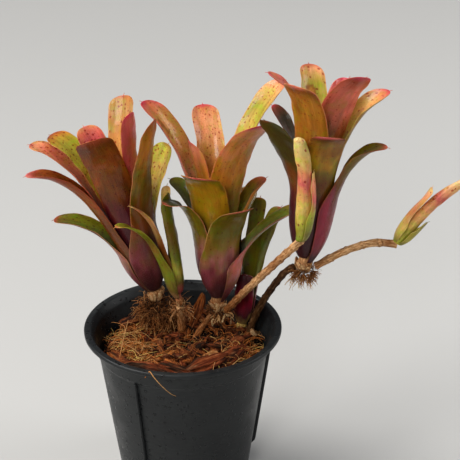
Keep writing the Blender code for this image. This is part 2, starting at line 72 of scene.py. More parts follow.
ROSETTES = {
    "left": Rosette((-16, 20, 100), 16, 180, 4.2, 12.0, 25, 1.15, 5),
    "centre": Rosette((18, 16.5, 95), 0, 0, 4.2, 13.5, 25, 1.2, 4.5),
    "right": Rosette((63.5, -2, 128), 5, 0, 4.2, 12.5, 36, 1.15, 4.5),
    "back": Rosette((31.5, 23, 77.5), 8, 45, 3.0, 6.0, 20, 1.0, 8),
    "pup": Rosette((-2, 9, 100.5), 10, 180, 2.4, 6.0, 18, 1.0, 3.5),
    "front_shoot": Rosette((60, -23.4, 149.8), 5, 0, 2.6, 4.95, 14, 1.0, 0),
    "side_shoot": Rosette((110.5, -2, 138.5), 35, 0, 2.6, 5.0, 11, 1.0, 0),
}

# Each leaf from the outermost inwards: its form, then its colours from foot to tip
# outside and inside, the colour of its margins and tip, and its share of dark spots.
LEAVES = {
    "left_leaf": ("left", "left_leaves", [
        (Leaf(178, 39, 54, 80, 8.5, stay=0.30, channel=60),
         Look("maroon 0 plum .16 mauve .32 rust .5 umber .8 brick 1",
              "tan 0 olive .3 leaf_green .45 leaf_green .75 olive .93 brick 1", "tan", "brick", 0.35)),
        (Leaf(-24, 34, 98, 22, 8, swing=30),
         Look("wine 0 maroon .12 plum .2 cocoa .32 rust .5 olive .64 amber .8 rust 1",
              "olive 0 olive .5 amber 1", "salmon", "brick", 0.35)),
        (Leaf(-162, 43, 87, 75, 9, stay=0.26, channel=70),
         Look("wine 0 maroon .1 cocoa .26 umber .4 rust .62 brick .9 pink 1",
              "wine 0 umber .35 umber .6 rust .8 brick .92 pink 1", "brick", "pink", 0.8)),
        (Leaf(15, 32, 76, 45, 9, twist=25, channel=30),
         Look("maroon 0 rose .3 olive .5 amber 1",
              "rose 0 rose .3 salmon .42 lime .55 straw .8 lime 1", "peach", "brick", 0.55)),
        (Leaf(170, 39, 96, 60, 8, stay=0.32, channel=45),
         Look("maroon 0 rust .3 brick .42 coral .6 salmon .8 peach 1",
              "olive 0 brick .45 salmon .65 coral .85 peach 1", "coral", "rose", 0.7)),
        (Leaf(-88, 31, 102, 45, 10, blunt=0.8),
         Look("wine 0 wine .22 maroon .4 umber .56 rust .74 umber .88 brick 1",
              "olive 0 amber 1", "rust", "brick", 0.6)),
        (Leaf(78, 29, 82, 30, 6.5),
         Look("maroon 0 mauve .4 rose .8 brick 1", "maroon 0 rose .5 mauve 1", "rose", "brick", 0.4)),
        (Leaf(150, 33, 95, 65, 8, channel=20),
         Look("maroon 0 rust .4 lime .6 lime 1",
              "olive 0 olive .45 lime .6 lime .84 amber .94 brick 1", "salmon", "brick", 0.5)),
        (Leaf(60, 28, 103, 40, 8.5, blunt=0.7),
         Look("maroon 0 rust .35 amber .6 ochre 1",
              "rust 0 mustard .4 ochre .58 ochre .75 tan .88 amber 1", "tan", "rose", 0.4)),
        (Leaf(120, 21, 94, 40, 7.5, stay=0.5),
         Look("maroon 0 magenta .5 rose 1",
              "maroon 0 magenta .5 magenta .75 rose .86 coral .94 peach 1", "peach", "rose", 0.3)),
        (Leaf(-30, 23, 104, 15, 7),
         Look("maroon 0 maroon .25 brick .42 rose .62 rose .92 magenta 1",
              "maroon 0 brick .5 coral 1", "coral", "magenta", 0.2)),
    ]),
    "centre_leaf": ("centre", "centre_leaves", [
        (Leaf(-4, 43, 57, 60, 8.5, stay=0.22, channel=60),
         Look("maroon 0 plum .12 mauve .3 rose .45 olive .62 mauve .85 salmon 1",
              "tan 0 olive .35 leaf_green .55 leaf_green .85 salmon 1", "mauve", "salmon", 0.3)),
        (Leaf(-58, 27, 64, 55, 10, blunt=0.7, swing=20),
         Look("wine 0 wine .1 maroon .2 plum .32 mauve .44 khaki .56 olive .72 olive .9 rose 1",
              "olive 0 olive 1", "tan", "rose", 0.35)),
        (Leaf(-144, 33, 66, 85, 8, channel=50),
         Look("wine 0 wine .12 maroon .22 plum .32 mauve .42 olive .56 olive .85 coral 1",
              "olive 0 deep_green 1", "salmon", "rose", 0.4)),
        (Leaf(55, 32, 56, 55, 7),
         Look("maroon 0 deep_green .4 dark_olive 1",
              "dark_olive 0 deep_green .5 olive 1", "olive", "olive", 0.2)),
        (Leaf(160, 26, 68, 60, 8, channel=40),
         Look("maroon 0 deep_green .4 deep_green 1",
              "dark_olive 0 deep_green .5 leaf_green 1", "olive", "umber", 0.2)),
        (Leaf(17, 27, 69, 45, 8, channel=70),
         Look("maroon 0 umber .3 olive .5 amber .75 rust 1",
              "olive 0 leaf_green .5 olive .8 brick 1", "salmon", "brick", 0.3)),
        (Leaf(-110, 30, 84, 65, 11, blunt=0.7),
         Look("plum 0 mauve .2 khaki .38 mustard .55 mustard .78 olive .9 rose 1",
              "olive 0 mustard 1", "amber", "magenta", 0.35)),
        (Leaf(-42, 31, 109, 45, 10, swing=30, twist=-10),
         Look("maroon 0 olive .25 khaki .42 amber .6 amber .8 salmon .93 magenta 1",
              "olive 0 amber 1", "coral", "magenta", 0.5)),
        (Leaf(160, 41, 109, 55, 10, channel=55, stay=0.27),
         Look("maroon 0 amber .35 salmon .55 coral .75 coral .9 magenta 1",
              "olive 0 ochre .4 peach .6 ochre .8 coral .93 magenta 1", "coral", "magenta", 0.35)),
        (Leaf(24, 38, 120, 50, 9.5, stay=0.36, channel=42),
         Look("maroon 0 olive .3 amber .5 amber .8 salmon .95 rose 1",
              "olive 0 lime .45 straw .65 lime .8 peach .93 coral 1", "peach", "rose", 0.4)),
        (Leaf(104, 31, 102, 50, 8.5, stay=0.55, channel=50, blunt=0.7),
         Look("maroon 0 amber .4 ochre 1",
              "olive 0 peach .45 ochre .62 peach .8 salmon .95 coral 1", "peach", "magenta", 1.0)),
        (Leaf(-152, 15, 95, 15, 7.5, swing=-10, channel=35),
         Look("maroon 0 amber .4 amber .7 salmon .9 pink 1", "olive 0 amber 1", "coral", "magenta", 0.35)),
    ]),
    "right_leaf": ("right", "right_leaves", [
        (Leaf(-15, 34, 70, 80, 8.5, stay=0.30, channel=70),
         Look("wine 0 wine .08 berry .2 magenta_plum .38 plum .52 umber .62 olive .8 brick 1",
              "olive 0 olive .5 olive .9 brick 1", "rust", "coral", 0.35)),
        (Leaf(-158, 31, 80, 35, 9, swing=-20, twist=20),
         Look("wine 0 wine .3 maroon .42 umber .56 dark_olive .7 dark_olive 1",
              "dark_olive 0 umber 1", "dark_olive", "umber", 0.25)),
        (Leaf(-86, 28, 80, 50, 9, blunt=0.7),
         Look("wine 0 maroon .18 plum .34 umber .46 olive .6 mustard .76 umber .92 rose 1",
              "olive 0 olive 1", "rust", "rose", 0.4)),
        (Leaf(162, 26, 81, 50, 7.5),
         Look("maroon 0 umber .4 olive .6 dark_olive .85 rust 1",
              "dark_olive 0 olive .6 dark_olive .85 brick 1", "brick", "magenta", 0.4)),
        (Leaf(12, 33, 94, 60, 9, stay=0.38, channel=60),
         Look("maroon 0 olive .35 mustard .5 khaki .7 mustard .9 coral 1",
              "olive 0 khaki .45 lime .62 straw .8 coral .95 rose 1", "straw", "magenta", 0.4)),
        (Leaf(-125, 30, 103, 45, 9.5, blunt=0.7, swing=-10),
         Look("maroon 0 umber .25 olive .4 amber .56 amber .8 rust .93 coral 1",
              "olive 0 amber 1", "salmon", "coral", 0.55)),
        (Leaf(-36, 21, 106, 45, 9.5, swing=30, twist=-20),
         Look("maroon 0 umber .3 amber .48 rust .62 coral .8 brick .93 magenta 1",
              "amber 0 rose .6 coral 1", "coral", "magenta", 0.6)),
        (Leaf(-176, 29, 101, 65, 7),
         Look("maroon 0 umber .35 salmon .55 coral .8 rose .92 magenta 1",
              "olive 0 rose .6 coral 1", "rose", "magenta", 0.4)),
        (Leaf(105, 28, 98, 50, 7.5, stay=0.5, channel=50, blunt=0.8),
         Look("maroon 0 amber .4 ochre 1",
              "olive 0 lime .45 straw .65 lime .8 peach .93 rose 1", "peach", "rose", 0.15)),
        (Leaf(45, 17, 97, 25, 7.5, channel=50),
         Look("maroon 0 rose .5 coral 1",
              "maroon 0 coral .45 rose .62 pink .8 rose .92 magenta 1", "pink", "magenta", 0.2)),
    ]),
    "back_leaf": ("back", "back_leaves", [
        (Leaf(-100, 5, 31, 8, 5),
         Look("straw 0 wine .18 berry .45 wine .8 maroon 1", "maroon 0 wine 1", "tan", "maroon", 0.1)),
        (Leaf(35, 18, 66, 35, 6), Look("wine 0 plum .4 olive .7 leaf_green 1",
                                       "olive 0 leaf_green .6 olive 1", "olive", "brick", 0.3)),
        (Leaf(165, 7, 44, 20, 4), Look("wine 0 plum .5 olive 1", "olive 0 olive 1", "tan", "brick", 0.2)),
        (Leaf(75, 12, 70, 20, 4.5), Look("wine 0 plum .4 olive .7 leaf_green 1",
                                         "olive 0 leaf_green .6 olive 1", "olive", "brick", 0.3)),
    ]),
    "pup_leaf": ("pup", "pup_leaves", [
        (Leaf(-145, 27, 54, 80, 4.5, stay=0.26, channel=50),
         Look("tan 0 olive .12 leaf_green .3 khaki .5 olive .6 leaf_green .75 lime .92 coral 1",
              "olive 0 leaf_green .6 lime 1", "lime", "coral", 0.3)),
        (Leaf(-25, 6, 62, 10, 5.5),
         Look("rose 0 olive .1 lime .22 leaf_green .4 olive .55 khaki .68 leaf_green .85 leaf_green 1",
              "olive 0 deep_green 1", "olive", "olive", 0.35)),
        (Leaf(-142, 17, 62, 50, 3.5),
         Look("olive 0 rust .5 tan .7 salmon .9 tan 1", "tan 0 peach .7 tan 1", "tan", "tan", 0.2)),
        (Leaf(60, 10, 62, 30, 3), Look("olive 0 olive .6 tan 1", "olive 0 olive .6 straw .9 tan 1",
                                       "straw", "tan", 0.2)),
    ]),
    "front_shoot_bract": ("front_shoot", "front_shoot", [
        (Leaf(-15, 2.2, 38, -8, 3.8),
         Look("lime 0 leaf_green .15 lime .4 rose .62 coral .75 peach .92 cream 1",
              "cream 0 peach 1", "cream", "tan", 0.35)),
    ]),
    "side_shoot_bract": ("side_shoot", "side_shoot", [
        (Leaf(-20, 5.4, 19, 5, 3.8),
         Look("leaf_green 0 lime .3 lime .7 olive 1", "lime 0 lime 1", "cream", "olive", 0.25)),
        (Leaf(180, 4.2, 35, 5, 3.6),
         Look("lime 0 straw .3 salmon .6 peach .85 cream 1", "peach 0 peach 1", "cream", "salmon", 0.2)),
    ]),
}

# Old dry scars: share of the length, place across (-1 to 1) and reach
SCARS = {"centre_leaf_9": (0.83, 0.35, 5.0), "right_leaf_9": (0.82, 0.2, 3.0)}

# Young shoots: (height, radius) of the body, height of the tip, sideways bend and colours
SHOOTS = {
    "front_shoot": (
        ((0.0, 1.9), (6, 2.9), (12, 3.9), (22, 4.2), (32, 3.4), (38, 3.3), (44, 3.8), (50, 3.7), (53, 2.7)),
        55.0, -7.0,
        "leaf_green 0 lime .2 straw .38 salmon .52 rose .6 salmon .68 straw .8 cream .92 cream 1"),
    "side_shoot": (
        ((0.0, 1.9), (6, 3.1), (13, 4.3), (24, 4.3), (32, 3.5), (40, 2.9), (45, 2.0)), 48.5, 7.5,
        "lime 0 lime .15 straw .3 peach .48 salmon .62 rose .7 peach .8 cream 1"),
}

# Runners: route points, tube radius, the spacing of their papery scales and colours
RUNNERS = {
    "runner_mix_to_centre": (
        ((2.5, -1.5, 70), (5, 2, 77.5), (10, 8, 84), (15, 13, 88.2)),
        1.6, 3.2, "rust_bark 0 husk .5 skin_dark 1"),
    "runner_centre_to_front_shoot": (
        ((23.4, 12.2, 92.0), (28, 7.5, 100), (35.5, 0, 112.5), (48, -13, 132.5), (60.1, -23.4, 150.4)),
        2.0, 6.5, "husk 0 skin_dark .2 skin .45 skin_dark .7 skin 1"),
    "runner_mix_to_right": (
        ((35.5, 14.5, 68), (36.3, 14.3, 80), (42.2, 11, 97), (52, 3.5, 117), (58.1, -1.0, 124.8)),
        1.9, 7.0, "bark 0 bark .45 dark_bark .7 bark 1"),
    "runner_right_to_side_shoot": (
        ((69.6, -2.6, 126.0), (76.5, -4, 131), (87, -4, 136.5), (99, -3, 139.4), (110.6, -2, 138.3)),
        2.0, 9.0, "skin_dark 0 skin .25 skin .75 skin_dark .9 skin 1"),
    "pup_stalk": (
        ((-0.4, 9, 68), (-0.9, 9, 80), (-1.7, 9, 95.8)), 2.2, 5.0, "bark 0 husk .45 skin_dark .75 skin 1"),
}

# Colours as 8-bit display values
PALETTE = {
    "wine": (64, 6, 24), "maroon": (84, 16, 28), "berry": (128, 16, 46), "plum": (118, 48, 62),
    "magenta_plum": (140, 34, 58), "mauve": (158, 98, 90), "rose": (208, 96, 96),
    "magenta": (206, 48, 88), "pink": (230, 128, 130), "coral": (224, 120, 100),
    "salmon": (222, 138, 100), "peach": (236, 172, 122), "ochre": (214, 154, 80),
    "mustard": (172, 128, 22), "amber": (192, 128, 44), "rust": (144, 74, 20),
    "umber": (106, 54, 12), "cocoa": (112, 66, 34), "brick": (164, 70, 42), "khaki": (136, 106, 40),
    "olive": (112, 96, 18), "dark_olive": (66, 56, 12), "lime": (176, 172, 58),
    "leaf_green": (116, 124, 18), "deep_green": (58, 64, 10), "straw": (220, 190, 104),
    "cream": (232, 208, 138), "tan": (196, 150, 98), "husk": (150, 92, 46),
    "rust_bark": (134, 70, 36), "bark": (92, 62, 36), "dark_bark": (56, 36, 22),
    "root_pale": (226, 196, 148), "root_brown": (112, 72, 40), "chip_red": (128, 60, 28),
    "chip_orange": (196, 112, 48), "mix_dark": (30, 17, 10), "skin": (220, 174, 124),
    "skin_dark": (172, 118, 74), "scurf": (186, 142, 140),
}


# =========================== numbers and noise =====================================
def display_to_linear(values):
    """8-bit display values as linear light: the standard two-part sRGB curve."""
    v = np.asarray(values, float) / 255
    return np.where(v <= 0.04045, v / 12.92, ((v + 0.055) / 1.055) ** 2.4)


def ramp(words, where):
    """Colours along a ramp written as 'name position name position ...', read at where."""
    parts = words.split()
    stops = np.array([float(p) for p in parts[1::2]])
    tones = display_to_linear([PALETTE[p] for p in parts[::2]])
    return np.stack([np.interp(where, stops, tones[:, k]) for k in range(3)], -1)


def ease(x):
    """Smooth step from 0 to 1: 3x^2 - 2x^3 of x held between 0 and 1."""
    x = np.clip(x, 0.0, 1.0)
    return x * x * (3 - 2 * x)


def noise(points, seed):
    """Smooth value noise from -1 to 1: random numbers on a unit lattice, eased between."""
    p = np.asarray(points, float)
    cell = np.floor(p)
    f = ease(p - cell)
    total = np.zeros(p.shape[:-1])
    for corner in np.ndindex(2, 2, 2):
        at = (cell + corner) @ np.array([12.9898, 78.233, 37.719]) + 4.1414 * seed
        value = np.mod(np.sin(at) * 43758.5453, 1.0)
        weight = np.prod(np.where(corner, f, 1 - f), -1)
        total += weight * value
    return 2 * total - 1


def fractal(points, seed):
    """Three layers of noise, each at twice the fineness and half the strength of the last."""
    p = np.asarray(points, float)
    return sum(noise(p * 2.0 ** k, seed + 17 * k) / 2.0 ** k for k in range(3))


def bezier(points, count):
    """Cubic Bezier curve through the first and last of four points."""
    t = np.linspace(0.0, 1.0, count)[:, None]
    a, b, c, d = points
    return (1 - t) ** 3 * a + 3 * (1 - t) ** 2 * t * b + 3 * (1 - t) * t ** 2 * c + t ** 3 * d


def lean(degrees):
    """Unit steps in (radius, height) that lean away from the axis by an angle."""
    turn = np.radians(degrees)
    return np.stack([np.sin(turn), np.cos(turn)], -1)


def smooth_route(route, count):
    """Catmull-Rom curve through the route's points, read at even steps of its parameter."""
    knots = np.array(route, float)
    knots = np.vstack([2 * knots[0] - knots[1], knots, 2 * knots[-1] - knots[-2]])
    s = np.linspace(0.0, len(route) - 1.000001, count)
    k = s.astype(int)
    t = (s - k)[:, None]
    a, b, c, d = (knots[k + n] for n in range(4))
    return 0.5 * (2 * b + (c - a) * t + (2 * a - 5 * b + 4 * c - d) * t ** 2
                  + (3 * b - a - 3 * c + d) * t ** 3)


def rosette_axes(rosette):
    """Columns are the rosette's own x, y and axis: world axes tilted towards one azimuth."""
    azimuth, tilt = np.radians(rosette.tilt_azimuth), np.radians(rosette.tilt)
    hinge = np.array([-np.sin(azimuth), np.cos(azimuth), 0.0])
    turned = [
        v * np.cos(tilt) + np.cross(hinge, v) * np.sin(tilt) + hinge * (hinge @ v) * (1 - np.cos(tilt))
        for v in np.eye(3)
    ]
    return np.stack(turned, 1)


def turned_about(r, angle, level):
    """Points at radius r and an angle about an axis, at a level along it."""
    return np.stack([r * np.cos(angle) + 0 * level, r * np.sin(angle) + 0 * level, level], -1)


def place(rosette, points):
    """Rosette points (x, y, height above the base) in world millimetres."""
    return points @ rosette_axes(rosette).T + np.array(rosette.base, float)


# =========================== meshes ================================================
Surface = namedtuple("Surface", "points faces tint grain marks")


def merged(surfaces):
    """Several surfaces as one, with their face numbers shifted past each other."""
    surfaces = list(surfaces)
    starts = np.cumsum([0] + [len(s.points) for s in surfaces[:-1]])
    faces = [s.faces + start for s, start in zip(surfaces, starts)]
    points, tint, grain, marks = (
        np.vstack([getattr(s, name) for s in surfaces]) for name in ("points", "tint", "grain", "marks"))
    return Surface(points, np.vstack(faces), tint, grain, marks)


def add_to_scene(name, data):
    """A new object of this data in the scene."""
    made = bpy.data.objects.new(name, data)
    bpy.context.scene.collection.objects.link(made)
    return made


def piece(name, surface, finish):
    """The mesh object of a surface. A face of four numbers whose last two agree is a triangle."""
    mesh = bpy.data.meshes.new(name)
    faces = surface.faces.astype(int)
    corners = np.where(faces[:, 3] == faces[:, 2], 3, 4)
    flat = faces[np.arange(4)[None, :] < corners[:, None]]
    mesh.vertices.add(len(surface.points))
    mesh.vertices.foreach_set("co", (surface.points * MM).astype(np.float32).ravel())
    mesh.loops.add(len(flat))
    mesh.loops.foreach_set("vertex_index", flat.astype(np.int32))
    mesh.polygons.add(len(faces))
    mesh.polygons.foreach_set("loop_start", np.r_[0, np.cumsum(corners)[:-1]].astype(np.int32))
    mesh.polygons.foreach_set("use_smooth", np.full(len(faces), True))
    mesh.update(calc_edges=True)
    mesh.validate()
    tint = np.hstack([np.clip(surface.tint, 0, 1), np.ones((len(surface.tint), 1))]).astype(np.float32)
    mesh.attributes.new("tint", "FLOAT_COLOR", "POINT").data.foreach_set("color", tint.ravel())
    for attribute in ("grain", "marks"):
        values = getattr(surface, attribute).astype(np.float32).ravel()
        mesh.attributes.new(attribute, "FLOAT_VECTOR", "POINT").data.foreach_set("vector", values)
    mesh.materials.append(finish)
    made = add_to_scene(name, mesh)
    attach(made, "root")
    return made


def stands_for(made, slot, *nodes):
    """This piece stands for those CAD nodes, which are hidden; made and slot are not used."""
    if nodes:
        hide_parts(*nodes)


def quads(index):
    """Quads between the neighbours of a grid of point numbers."""
    a, b, c, d = index[:-1, :-1], index[:-1, 1:], index[1:, 1:], index[1:, :-1]
    return np.stack([a, b, c, d], -1).reshape(-1, 4)


def ring_faces(rows, sides):
    """Quads between rows of closed rings: a grid joined round from its last column."""
    index = np.arange(rows * sides).reshape(rows, sides)
    return quads(np.hstack([index, index[:, :1]]))


def cap_faces(ring, pole, turned):
    """Triangles from a closed ring of point numbers to one pole."""
    after = np.roll(ring, -1)
    first, second = (after, ring) if turned else (ring, after)
    pole = np.full(len(ring), pole)
    return np.stack([first, second, pole, pole], -1)


def closed_tube(rings, tint, grain, marks=(0, 0, 0)):
    """A closed surface through rings (rows, sides, 3), with a pole at the middle of each end."""
    rows, sides = rings.shape[:2]
    points = np.vstack([rings.reshape(-1, 3), rings[0].mean(0), rings[-1].mean(0)])
    faces = np.vstack([
        ring_faces(rows, sides),
        cap_faces(np.arange(sides), rows * sides, True),
        cap_faces(np.arange(sides) + (rows - 1) * sides, rows * sides + 1, False),
    ])

    def spread(values):
        """Values of every ring point, then each end ring's mean at its pole."""
        values = np.broadcast_to(values, (rows, sides, 3))
        return np.vstack([values.reshape(-1, 3), values[0].mean(0), values[-1].mean(0)])

    return Surface(points, faces, spread(tint), spread(grain), spread(marks))


def path_frames(paths):
    """Two unit directions square to each path: cross products with the path's least used axis."""
    tangent = np.gradient(paths, axis=-2)
    tangent /= np.linalg.norm(tangent, axis=-1, keepdims=True)
    overall = np.abs(paths[..., -1, :] - paths[..., 0, :])
    aside = np.eye(3)[np.argmin(overall, -1)]
    first = np.cross(tangent, np.broadcast_to(aside[..., None, :], tangent.shape))
    first /= np.linalg.norm(first, axis=-1, keepdims=True)
    return first, np.cross(tangent, first)


def strands(paths, radii, tints, sides):
    """Many thin closed tubes: paths (count, rows, 3), radii (count, rows), tints (count, rows, 3)."""
    count, rows = paths.shape[:2]
    first, second = path_frames(paths)
    angle = np.linspace(0.0, TAU, sides, endpoint=False)
    ring = np.cos(angle)[:, None] * first[..., None, :] + np.sin(angle)[:, None] * second[..., None, :]
    skin = paths[..., None, :] + radii[..., None, None] * ring
    points = np.concatenate([skin.reshape(count, -1, 3), paths[:, :1], paths[:, -1:]], 1)
    colour = np.repeat(tints, sides, 1)
    colour = np.concatenate([colour, tints[:, :1], tints[:, -1:]], 1)
    grain = np.zeros_like(points)
    grain[:, :-2, 1] = np.repeat(np.arange(rows), sides)
    grain[:, :, 0] = np.arange(count)[:, None]
    one = np.vstack([
        ring_faces(rows, sides)[:, ::-1],
        cap_faces(np.arange(sides), rows * sides, False),
        cap_faces(np.arange(sides) + (rows - 1) * sides, rows * sides + 1, True),
    ])
    faces = (one[None] + points.shape[1] * np.arange(count)[:, None, None]).reshape(-1, 4)
    points, tint, grain = (values.reshape(-1, 3) for values in (points, colour, grain))
    return outward(Surface(points, faces, tint, grain, np.zeros_like(points)))


# =========================== leaves ================================================
ROWS, COLUMNS = ((84, 27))


def midrib(rosette, leaf, ring):
    """(radius, height) curve of a midrib, its lengths, and the lengths at belly and tip.

    Two Bezier curves, foot to belly and belly to tip, then an arc that hooks over for
    the length of the end spine.
    """
    foot = np.array([rosette.crown - FOOT_STEP * ring, FOOT_HEIGHT + FOOT_RISE * ring])
    belly = np.array([rosette.belly - rosette.step * ring, rosette.belly_height + BELLY_RISE * ring])
    tip = np.array([leaf.reach, leaf.height], float)
    low, high = np.linalg.norm(belly - foot), np.linalg.norm(tip - belly)
    sheath = bezier(
        [foot, foot + 0.35 * low * lean(FOOT_LEAN), belly - 0.45 * low * lean(BELLY_LEAN), belly], 80)
    blade = bezier(
        [belly, belly + leaf.stay * high * lean(BELLY_LEAN), tip - 0.35 * high * lean(leaf.droop), tip], 160)
    hook = tip + np.cumsum(SPINE_LENGTH / 12 * lean(leaf.droop + np.linspace(2, 45, 12)), 0)
    curve = np.vstack([sheath, blade[1:], hook])
    length = np.r_[0.0, np.cumsum(np.linalg.norm(np.diff(curve, axis=0), axis=1))]
    return curve, length, length[len(sheath) - 1], length[-13]


def leaf_surface(rosette, leaf, ring, look, seed, scar=None):
    """A closed leaf: a strip of a surface turned about the rosette's axis.

    Down the leaf runs the midrib.  Across it lies an arc that wraps the axis in the
    sheath and opens to the blade's own channel; swing turns the tip's azimuth and twist
    rolls the blade.  The margins flute as waves that grow with the fourth power of the
    distance from the midrib, and the two faces part by a thickness that closes at the
    margins and the tip.
    """
    curve, length, belly_at, total = midrib(rosette, leaf, ring)
    cap = leaf.blunt * leaf.half_width
    cap_rows = ROWS // 5
    stations = np.r_[
        np.linspace(0.0, total - cap, ROWS - cap_rows - 5),
        (total - cap) + cap * np.sin(np.linspace(0.0, np.pi / 2, cap_rows + 1))[1:],
        total + SPINE_LENGTH * np.array([0.12, 0.35, 0.6, 0.85, 1.0]),
    ]
    radius = np.interp(stations, length, curve[:, 0])
    height = np.interp(stations, length, curve[:, 1])
    out_step = np.interp(stations, length, np.gradient(curve[:, 0], length))
    up_step = np.interp(stations, length, np.gradient(curve[:, 1], length))
    size = np.hypot(out_step, up_step)
    out_step, up_step = out_step / size, up_step / size

    narrowing = ease((stations - 0.9 * belly_at) / (0.25 * total))
    sheath_half = SHEATH_WIDTH * (rosette.belly - rosette.step * ring)
    rounding = (1 - np.clip((stations - (total - cap)) / cap, 0.0, 1.0) ** 2.7) ** (1 / 2.7)
    half = (sheath_half * (1 - narrowing) + leaf.half_width * narrowing) * rounding
    half = np.minimum(half, np.radians(WRAP) * radius)
    spine = SPINE_WIDTH * np.clip((total + SPINE_LENGTH - stations) / (1.6 * SPINE_LENGTH), 0.0, 1.0)
    half = np.maximum(half, spine)

    along = np.clip((stations - belly_at) / (total - belly_at), 0.0, 1.0)
    azimuth = np.radians(leaf.azimuth + leaf.swing * (along ** 1.5 - 1))
    twist = np.radians(leaf.twist) * ease(1.3 * along)
    free = ease(1.6 * along)
    arc = 1 / ((1 - free) / radius + free * np.radians(leaf.channel) / leaf.half_width)

    x = np.linspace(-1.0, 1.0, COLUMNS)
    across = (x * (1.5 - 0.5 * x ** 2))[None, :]
    angle = across * (half / arc)[:, None]
    side = arc[:, None] * np.sin(angle)
    sag = arc[:, None] * (1 - np.cos(angle))
    inward = sag * up_step[:, None]
    cos_t, sin_t = np.cos(twist)[:, None], np.sin(twist)[:, None]
    side, inward = side * cos_t - inward * sin_t, side * sin_t + inward * cos_t

    zero = np.zeros_like(azimuth)
    radial = np.stack([np.cos(azimuth), np.sin(azimuth), zero], 1)
    lateral = np.stack([-np.sin(azimuth), np.cos(azimuth), zero], 1)
    axial = np.array([0.0, 0.0, 1.0])
    tangent = out_step[:, None] * radial + up_step[:, None] * axial
    upper = -up_step[:, None] * radial + out_step[:, None] * axial
    middle = radius[:, None] * radial + height[:, None] * axial
    sheet = (
        middle[:, None, :]
        + side[..., None] * lateral[:, None, :]
        + inward[..., None] * upper[:, None, :]
        - (sag * out_step[:, None])[..., None] * tangent[:, None, :]
    )
    normal = np.cross(np.gradient(sheet, axis=1), np.gradient(sheet, axis=0))
    size = np.linalg.norm(normal, axis=-1, keepdims=True)
    normal = normal / np.where(size == 0, 1.0, size)
    normal *= np.sign(np.sum(normal[1:-6] * upper[1:-6, None, :]))

    wide = across * half[:, None]
    grain = np.stack([wide, np.zeros_like(wide), np.broadcast_to(stations[:, None], wide.shape)], -1)
    loose = (free * rounding)[:, None]
    wave = (np.sin(stations * TAU / 17.0 + 2.1 * seed) + 0.5 * np.sin(stations * TAU / 9.3 + seed))[:, None]
    flute = look.flute * loose * wave * across ** 4 * np.sign(across + 1e-9 + 0.4 * np.sin(seed))
    folds = 0.035 * np.cos(wide * 2.9 + seed) * rounding[:, None]
    swell = (0.10 + 0.26 * loose) * fractal(grain / 13.0, seed) * rounding[:, None]
    sheet = sheet + (flute + folds + swell)[..., None] * normal

    thick = LEAF_THICKNESS * (1 - across ** 4) ** 0.5 * np.clip(rounding + 0.35, 0.0, 1.0)[:, None]
    thick[-1] = 0.0
    outer = place(rosette, sheet - normal * thick[..., None] / 2)
    inner = place(rosette, sheet + normal * thick[..., None] / 2)
    share = np.clip(stations / total, 0.0, 1.0)[:, None] * np.ones_like(across)
    outer_tint, inner_tint = leaf_tints(look, share, across, grain, seed)
    if scar:
        outer_tint, inner_tint = scarred((outer_tint, inner_tint), scar, share, across, grain, seed)
    dots = (look.spots + 0.12) * ease((share - 0.22) / 0.25) * (0.75 + 0.5 * fractal(grain / 17.0, seed + 5))
    scurf = 1 - ease((share - 0.12) / 0.4)
    marks = np.stack([np.clip(dots, 0, 1), scurf, 0 * scurf], -1)
    inner_grain = grain + np.array([0.0, 40.0, 0.0])
    offset = np.array([61.0 * seed, 0.0, 0.0])
    return closed_leaf(outer, inner, outer_tint, inner_tint, grain + offset, inner_grain + offset, marks)


def scarred(tones, scar, share, across, grain, seed):
    """Colours with a dry patch: a ragged disc, rust at its edge and tan inside."""
    at, aside, reach = scar
    stretch = grain[..., 2].max() * (share - at) / reach / 1.3
    spread = np.abs(grain[..., 0]).max() * (across - aside) / reach
    edge = 1 - np.hypot(stretch, spread) + 0.35 * fractal(grain / 2.4, seed)
    inside, rim = ease(edge / 0.15)[..., None], ease((edge - 0.3) / 0.3)[..., None]
    dry = ramp("rust 0", share) * (1 - rim) + ramp("amber 0", share) * rim
    return [tone + (dry - tone) * 0.85 * inside for tone in tones]


def leaf_tints(look, share, across, grain, seed):
    """Outside and inside colours of a leaf.

    Each is a ramp from foot to tip, shifted to and fro by noise, with the margin's
    colour blended in over the last tenth of the width and the tip's colour at the end,
    and darkened towards the foot as painted shade.
    """
    calm = 1 - ease((share - 0.8) / 0.12)
    shift = 0.085 * fractal(grain / np.array([5.0, 5.0, 11.0]), seed + 3) * (0.15 + 0.85 * calm)
    near_tip = np.clip(share / 0.2 - 4, 0, 1)
    late = share - 0.2 * near_tip * (1 - near_tip)
    shade = 1 + 0.20 * fractal(grain / np.array([2.2, 2.2, 15.0]), seed + 9)
    rim = ease((np.abs(across) - 0.93) / 0.06) * (0.25 + 0.5 * ease((share - 0.4) / 0.2))
    end = ease((share - 0.962 - 0.02 * np.abs(across) + 0.25 * shift) / 0.035)
    tints = []
    # Painted shade: both faces darken towards the leaf's foot, the inside more, where the sheaths cup round
    # each other
    foot_shade = (0.55 + 0.45 * ease(share / 0.25), 0.4 + 0.6 * ease((share - 0.15) / 0.4))
    for words, painted_shade in zip((look.outer, look.inner), foot_shade):
        tone = ramp(words, np.clip(late + shift, 0, 1)) * (shade * painted_shade)[..., None]
        tone = tone + (ramp(look.edge + " 0", share) - tone) * rim[..., None]
        tints.append(tone + (ramp(look.tip + " 0", share) - tone) * 0.75 * end[..., None])
    return tints


